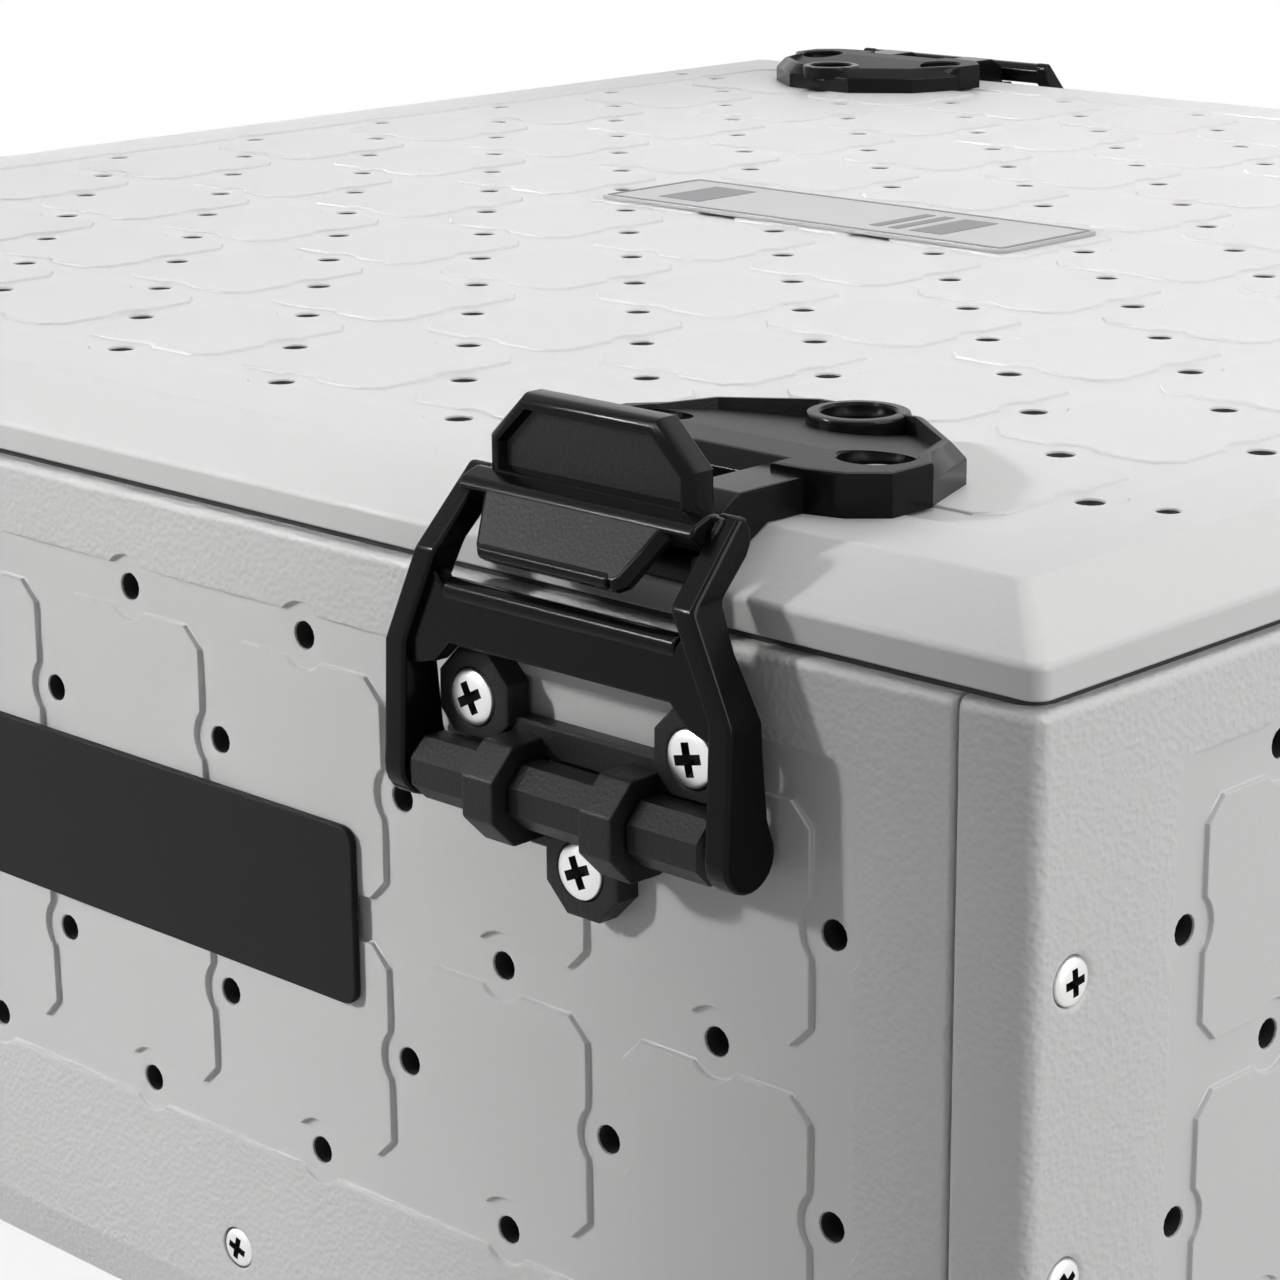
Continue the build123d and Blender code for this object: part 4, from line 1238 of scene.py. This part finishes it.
class BOX_OT_latch_frames(bpy.types.Operator):
    """The four swing frames"""
    bl_idname = "box.latch_frames"
    bl_label = "Swing frames"

    def execute(self, context):
        latch = context.scene.box_latch
        frames = {"front": swing_frame(latch, True), "rear": swing_frame(latch, False)}
        looks = finishes("latch_gloss", "latch_matt")
        for corner in CORNERS:
            mesh = frames[corner.split("_")[0]]
            add_piece(f"swing_frame_{corner}", mesh, looks, f"latch_{corner}",
                      [f"latch_frame_{corner}"], latch_place(context, corner), 32)
        return {"FINISHED"}


class BOX_OT_latch_bases(bpy.types.Operator):
    """The four latch bases with their knuckles"""
    bl_idname = "box.latch_bases"
    bl_label = "Latch bases"

    def execute(self, context):
        mesh = base_mesh(context.scene.box_latch)
        looks = finishes("latch_gloss", "latch_matt")
        for corner in CORNERS:
            add_piece(f"knuckle_base_{corner}", mesh, looks, "case", [f"latch_base_{corner}"],
                      latch_place(context, corner), 32)
        return {"FINISHED"}


class BOX_OT_catches(bpy.types.Operator):
    """The four catch plates on the lid"""
    bl_idname = "box.catches"
    bl_label = "Catch plates"

    def execute(self, context):
        shell, _, latch = sizes(context)
        mesh = catch_mesh(latch, shell.lid_top - shell.top_row)
        looks = finishes("latch_gloss", "latch_matt")
        for corner in CORNERS:
            add_piece(f"hook_catch_{corner}", mesh, looks, "lid", [f"catch_plate_{corner}"],
                      latch_place(context, corner), 32)
        return {"FINISHED"}


def screw_group(name, one, places, body, node, turn=None):
    """Several like screws as one piece."""
    work = bmesh.new()
    for place in places:
        copy = one.copy()
        copy.transform(place)
        work.from_mesh(copy)
        bpy.data.meshes.remove(copy)
    mesh = bpy.data.meshes.new(name)
    work.to_mesh(mesh)
    work.free()
    add_piece(name, mesh, finishes("screw_zinc", "screw_recess"), body, [node], turn, 30)


class BOX_OT_screws(bpy.types.Operator):
    """Cross-recess screws of latches, catches, corners and floor"""
    bl_idname = "box.screws"
    bl_label = "Screws"

    def execute(self, context):
        shell, lattice, _ = sizes(context)
        base_screw, catch_screw = (screw_mesh(10 * mm, 2.2 * mm, long * mm) for long in (16, 12))
        small_screw, foot_screw = (screw_mesh(8 * mm, 2.2 * mm, long * mm) for long in (18.5, 12))
        to_front = Matrix.Rotation(math.radians(90), 4, "X")
        to_right = Matrix.Rotation(math.radians(90), 4, "Y")
        deck = shell.lid_top - shell.top_row

        def seat(x, y, z, facing, turn):
            return Matrix.Translation((x, y, z)) @ facing @ Matrix.Rotation(turn, 4, "Z")

        for k, corner in enumerate(CORNERS):
            place = latch_place(context, corner)
            seats = [seat(x, -4.6 * mm, z, to_front, math.radians((17, 2, 13)[j] + 11 * k))
                     for j, (x, z) in enumerate(BASE_SCREWS)]
            screw_group(f"base_screws_{corner}", base_screw, seats, "case", f"latch_base_screws_{corner}",
                        place)
            seats = [seat(x, y, deck + 3.2 * mm, Matrix(), 0.4 + j) for j, (x, y) in enumerate(CATCH_SCREWS)]
            screw_group(f"socket_screws_{corner}", catch_screw, seats, "lid", f"catch_screws_{corner}", place)
        inset = shell.half - CORNER_INSET
        heights = [shell.top_row - (k + 0.5) * lattice.pitch for k in range(lattice.rows)]
        seats = [seat(shell.half - CORNER_SINK, side * inset, z, to_right, 0.1 + 0.5 * k)
                 for side in (-1, 1) for k, z in enumerate(heights)]
        face = shell.half + lattice.depth - shell.head_sink
        feet = [(k, (column - lattice.columns / 2) * lattice.pitch) for k, column in enumerate(SCREW_COLUMNS)]
        front = [seat(u, -face, shell.screw_height, to_front, 0.3 + k) for k, u in feet]
        right = [seat(face, u, shell.screw_height, to_right, 0.7 + k) for k, u in feet]
        for end, other, kind, screw, places in (("right", "left", "edge", small_screw, seats),
                                                ("front", "rear", "foot", foot_screw, front),
                                                ("right", "left", "foot", foot_screw, right)):
            node = {"edge": "corner", "foot": "floor"}[kind]
            screw_group(f"{end}_{kind}_screws", screw, places, "case", f"{end}_{node}_screws")
            screw_group(f"{other}_{kind}_screws", screw, places, "case", f"{other}_{node}_screws", HALF_TURN)
        return {"FINISHED"}


PLATE = (113.75 * mm, 17 * mm, 3.2 * mm)       # half length, half height and corner radius
BADGE = (65.5 * mm, 18.75 * mm, 2 * mm)
BADGE_MARKS = ((7.0, -45.0), (1.6, 20.0), (1.6, 26.0), (5.0, 36.0))   # mm, half width and middle of a stripe


class BOX_OT_plates(bpy.types.Operator):
    """Nameplate on the front and badge on the lid"""
    bl_idname = "box.plates"
    bl_label = "Plates"

    def execute(self, context):
        shell, lattice, _ = sizes(context)
        plate = Shape()
        face = facing_front(-shell.half - lattice.depth, field_height(shell, lattice))
        plate.stack(rounded_rectangle(*PLATE), soft(1.6 * mm, 0.35 * mm, 3), face)
        add_piece("name_plate", plate.mesh(), finishes("plate_satin"), "case",
                  ["front_nameplate"])
        badge = Shape()
        up = facing_up(shell.lid_top)
        half_u, half_v, radius = BADGE
        badge.stack(rounded_rectangle(*BADGE), soft(1 * mm, 0.25 * mm, 2), up)
        marks = []
        for half, middle in BADGE_MARKS:
            band = [(middle - half, -11), (middle + half, -11), (middle + half, 11), (middle - half, 11)]
            marks.append(prism(np.array(band) * mm, 0.5 * mm, 1.12 * mm, up, 1).mesh())
        border = Shape()
        outline = rounded_rectangle(half_u - 1 * mm, half_v - 1 * mm, radius - 0.4 * mm)
        outer = border.ring(outline, 0.5 * mm, up)
        over = border.ring(outline, 1.15 * mm, up)
        inner = border.ring(grown(outline, -1.1 * mm), 1.15 * mm, up)
        under = border.ring(inner.flat, 0.5 * mm, up)
        for low, high in ((outer, over), (over, inner), (inner, under), (under, outer)):
            border.band(low, high, 1)
        mesh = combine(badge.mesh(), [border.mesh(), *marks])
        add_piece("lid_badge", mesh, finishes("badge_satin", "badge_stripe"), "lid",
                  ["lid_badge_plate"])
        return {"FINISHED"}


def seen_share(tree):
    """One for rays that see the white background: from the camera, and by reflection or through glass."""
    path = tree.nodes.new("ShaderNodeLightPath")
    either = math_node(tree, "MAXIMUM", path.outputs["Is Camera Ray"], path.outputs["Is Glossy Ray"])
    return math_node(tree, "MAXIMUM", either, path.outputs["Is Transmission Ray"])


def blend_shaders(tree, share, first, second, output):
    pick = tree.nodes.new("ShaderNodeMixShader")
    tree.links.new(share, pick.inputs[0])
    link(tree, first, 0, pick, 1)
    link(tree, second, 0, pick, 2)
    link(tree, pick, 0, tree.nodes[output], 0)


def studio_world(studio):
    """Even light for the box, and plain white where the camera looks past it."""
    world = bpy.data.worlds.new("studio light")
    world.use_nodes = True
    tree = world.node_tree
    light = tree.nodes["Background"]
    seen = tree.nodes.new("ShaderNodeBackground")
    for node, strength in ((light, studio.ambient), (seen, 1.0)):
        node.inputs[0].default_value = (1, 1, 1, 1)
        node.inputs[1].default_value = strength
    blend_shaders(tree, seen_share(tree), light, seen, "World Output")
    return world


def studio_floor(colours):
    """Floor that takes the box's shadow near the box and fades to white away from it."""
    mesh = bpy.data.meshes.new("studio_floor")
    corners = ((-1, -1), (1, -1), (1, 1), (-1, 1))
    mesh.from_pydata([(x * FLOOR_REACH, y * FLOOR_REACH, -FLOOR_DROP) for x, y in corners], [], [(0, 1, 2, 3)])
    floor = bpy.data.objects.new("studio_floor", mesh)
    bpy.context.scene.collection.objects.link(floor)
    look = bpy.data.materials.new("studio_floor")
    look.use_nodes = True
    tree = look.node_tree
    paint = tree.nodes["Principled BSDF"]
    paint.inputs["Roughness"].default_value = 0.9
    glow = tree.nodes.new("ShaderNodeEmission")
    glow.inputs[0].default_value = (1, 1, 1, 1)
    seen = seen_share(tree)
    shade = tree.nodes.new("ShaderNodeMix")
    shade.data_type = "RGBA"
    shade.inputs[6].default_value = (*colours.floor, 1)
    shade.inputs[7].default_value = (*colours.floor_seen, 1)
    tree.links.new(seen, shade.inputs[0])
    link(tree, shade, 2, paint, "Base Color")
    place = tree.nodes.new("ShaderNodeTexCoord")
    distance = tree.nodes.new("ShaderNodeVectorMath")
    distance.operation = "LENGTH"
    link(tree, place, "Object", distance, 0)
    fade = tree.nodes.new("ShaderNodeMapRange")
    fade.interpolation_type = "SMOOTHSTEP"
    for name, value in FLOOR_FADE.items():
        fade.inputs[name].default_value = value
    link(tree, distance, "Value", fade, "Value")
    share = math_node(tree, "MULTIPLY", seen, fade.outputs["Result"])
    blend_shaders(tree, share, paint, glow, "Material Output")
    mesh.materials.append(look)
    return floor


def area_light(name, power, size, place, target, spread=180.0, edges_only=False):
    data = bpy.data.lights.new(name, "AREA")
    data.shape = "RECTANGLE"
    data.size, data.size_y = size
    data.energy = power
    data.spread = math.radians(spread)
    light = bpy.data.objects.new(name, data)
    bpy.context.scene.collection.objects.link(light)
    light.visible_diffuse = not edges_only
    light.rotation_euler = (Vector(place) - Vector(target)).to_track_quat("Z", "Y").to_euler()
    light.location = place


def studio_camera():
    """Camera solved from the lattice holes in the photograph."""
    data = bpy.data.cameras.new("camera")
    data.sensor_width = SENSOR
    data.lens = FOCAL_PIXELS / PICTURE_PIXELS * SENSOR
    data.clip_start = 0.05
    camera = bpy.data.objects.new("camera", data)
    bpy.context.scene.collection.objects.link(camera)
    back = np.array([math.sin(AZIMUTH) * math.cos(ELEVATION), -math.cos(AZIMUTH) * math.cos(ELEVATION),
                     math.sin(ELEVATION)])
    level = np.array([math.cos(AZIMUTH), math.sin(AZIMUTH), 0.0])
    upright = np.cross(back, level)
    right = level * math.cos(ROLL) + upright * math.sin(ROLL)
    up = upright * math.cos(ROLL) - level * math.sin(ROLL)
    turn = np.stack([right, up, back], 1)
    camera.matrix_world = Matrix([(*row, place) for row, place in zip(turn, CAMERA_AT)] + [(0, 0, 0, 1)])
    return camera


FLOOR_REACH = 6.0
FLOOR_DROP = 0.2 * mm
FLOOR_FADE = {"From Min": 0.4, "From Max": 1.3, "To Min": 0.72, "To Max": 1.0}   # metres, share of white
SENSOR = 36.0                # mm
PICTURE_PIXELS = 1280
FOCAL_PIXELS = 3426.82
AZIMUTH, ELEVATION, ROLL = 0.76540137, 0.2778948, -0.0072420
CAMERA_AT = (0.55195, -0.64764, 0.31691)
EDGE_TARGET = (0.17, -0.26, 0.17)


class BOX_OT_studio(bpy.types.Operator):
    """Pale floor, soft light and the camera"""
    bl_idname = "box.studio"
    bl_label = "Studio"

    def execute(self, context):
        scene = context.scene
        studio = scene.box_studio
        scene.world = studio_world(studio)
        studio_floor(scene.box_colours)
        area_light("top_panel", studio.top, (1.8, 1.8), (0.1, 0.5, 1.6), (0, 0, 0.15))
        area_light("side_panel", studio.side, (1.2, 1.2), (1.8, 0.2, 0.9), (0.2, 0, 0.1))
        area_light("front_panel_light", studio.front, (0.6, 0.9), (-1.1, -1.25, 0.75), (-0.2, -0.26, 0.1), 9)
        for name, place in (("left", (-0.55, -1.15, 1.15)), ("right", (1.35, -0.35, 1.1))):
            area_light(f"edge_strip_{name}", studio.strip, (0.07, 1.1), place, EDGE_TARGET, edges_only=True)
        scene.camera = studio_camera()
        scene.view_settings.view_transform = "Standard"
        return {"FINISHED"}


class BOX_PT_builder(bpy.types.Panel):
    """Sizes, colours and the pieces of the storage box"""
    bl_idname = "BOX_PT_builder"
    bl_label = "Storage box"
    bl_space_type = "VIEW_3D"
    bl_region_type = "UI"
    bl_category = "Storage box"

    def draw(self, context):
        scene = context.scene
        for group in GROUPS:
            column = self.layout.column(align=True)
            settings = getattr(scene, group)
            for key in settings.bl_rna.properties.keys():
                if key not in ("rna_type", "name"):
                    column.prop(settings, key)
        for operator in OPERATORS:
            self.layout.operator(operator.bl_idname)


GROUPS = {
    "box_shell": BoxShellSizes,
    "box_lattice": BoxLatticeSizes,
    "box_latch": BoxLatchSizes,
    "box_colours": BoxColours,
    "box_studio": BoxStudio,
}
OPERATORS = (
    BOX_OT_long_panels,
    BOX_OT_end_panels,
    BOX_OT_lid,
    BOX_OT_kept_parts,
    BOX_OT_latch_frames,
    BOX_OT_latch_bases,
    BOX_OT_catches,
    BOX_OT_screws,
    BOX_OT_plates,
    BOX_OT_studio,
)


def register():
    for item in (*GROUPS.values(), *OPERATORS, BOX_PT_builder):
        bpy.utils.register_class(item)
    for name, group in GROUPS.items():
        setattr(bpy.types.Scene, name, PointerProperty(type=group))


def unregister():
    for name in GROUPS:
        delattr(bpy.types.Scene, name)
    for item in reversed((*GROUPS.values(), *OPERATORS, BOX_PT_builder)):
        bpy.utils.unregister_class(item)


def main():
    register()
    for operator in OPERATORS:
        name = operator.bl_idname.split(".")[1]
        getattr(bpy.ops.box, name)()


if __name__ == "__main__":
    main()
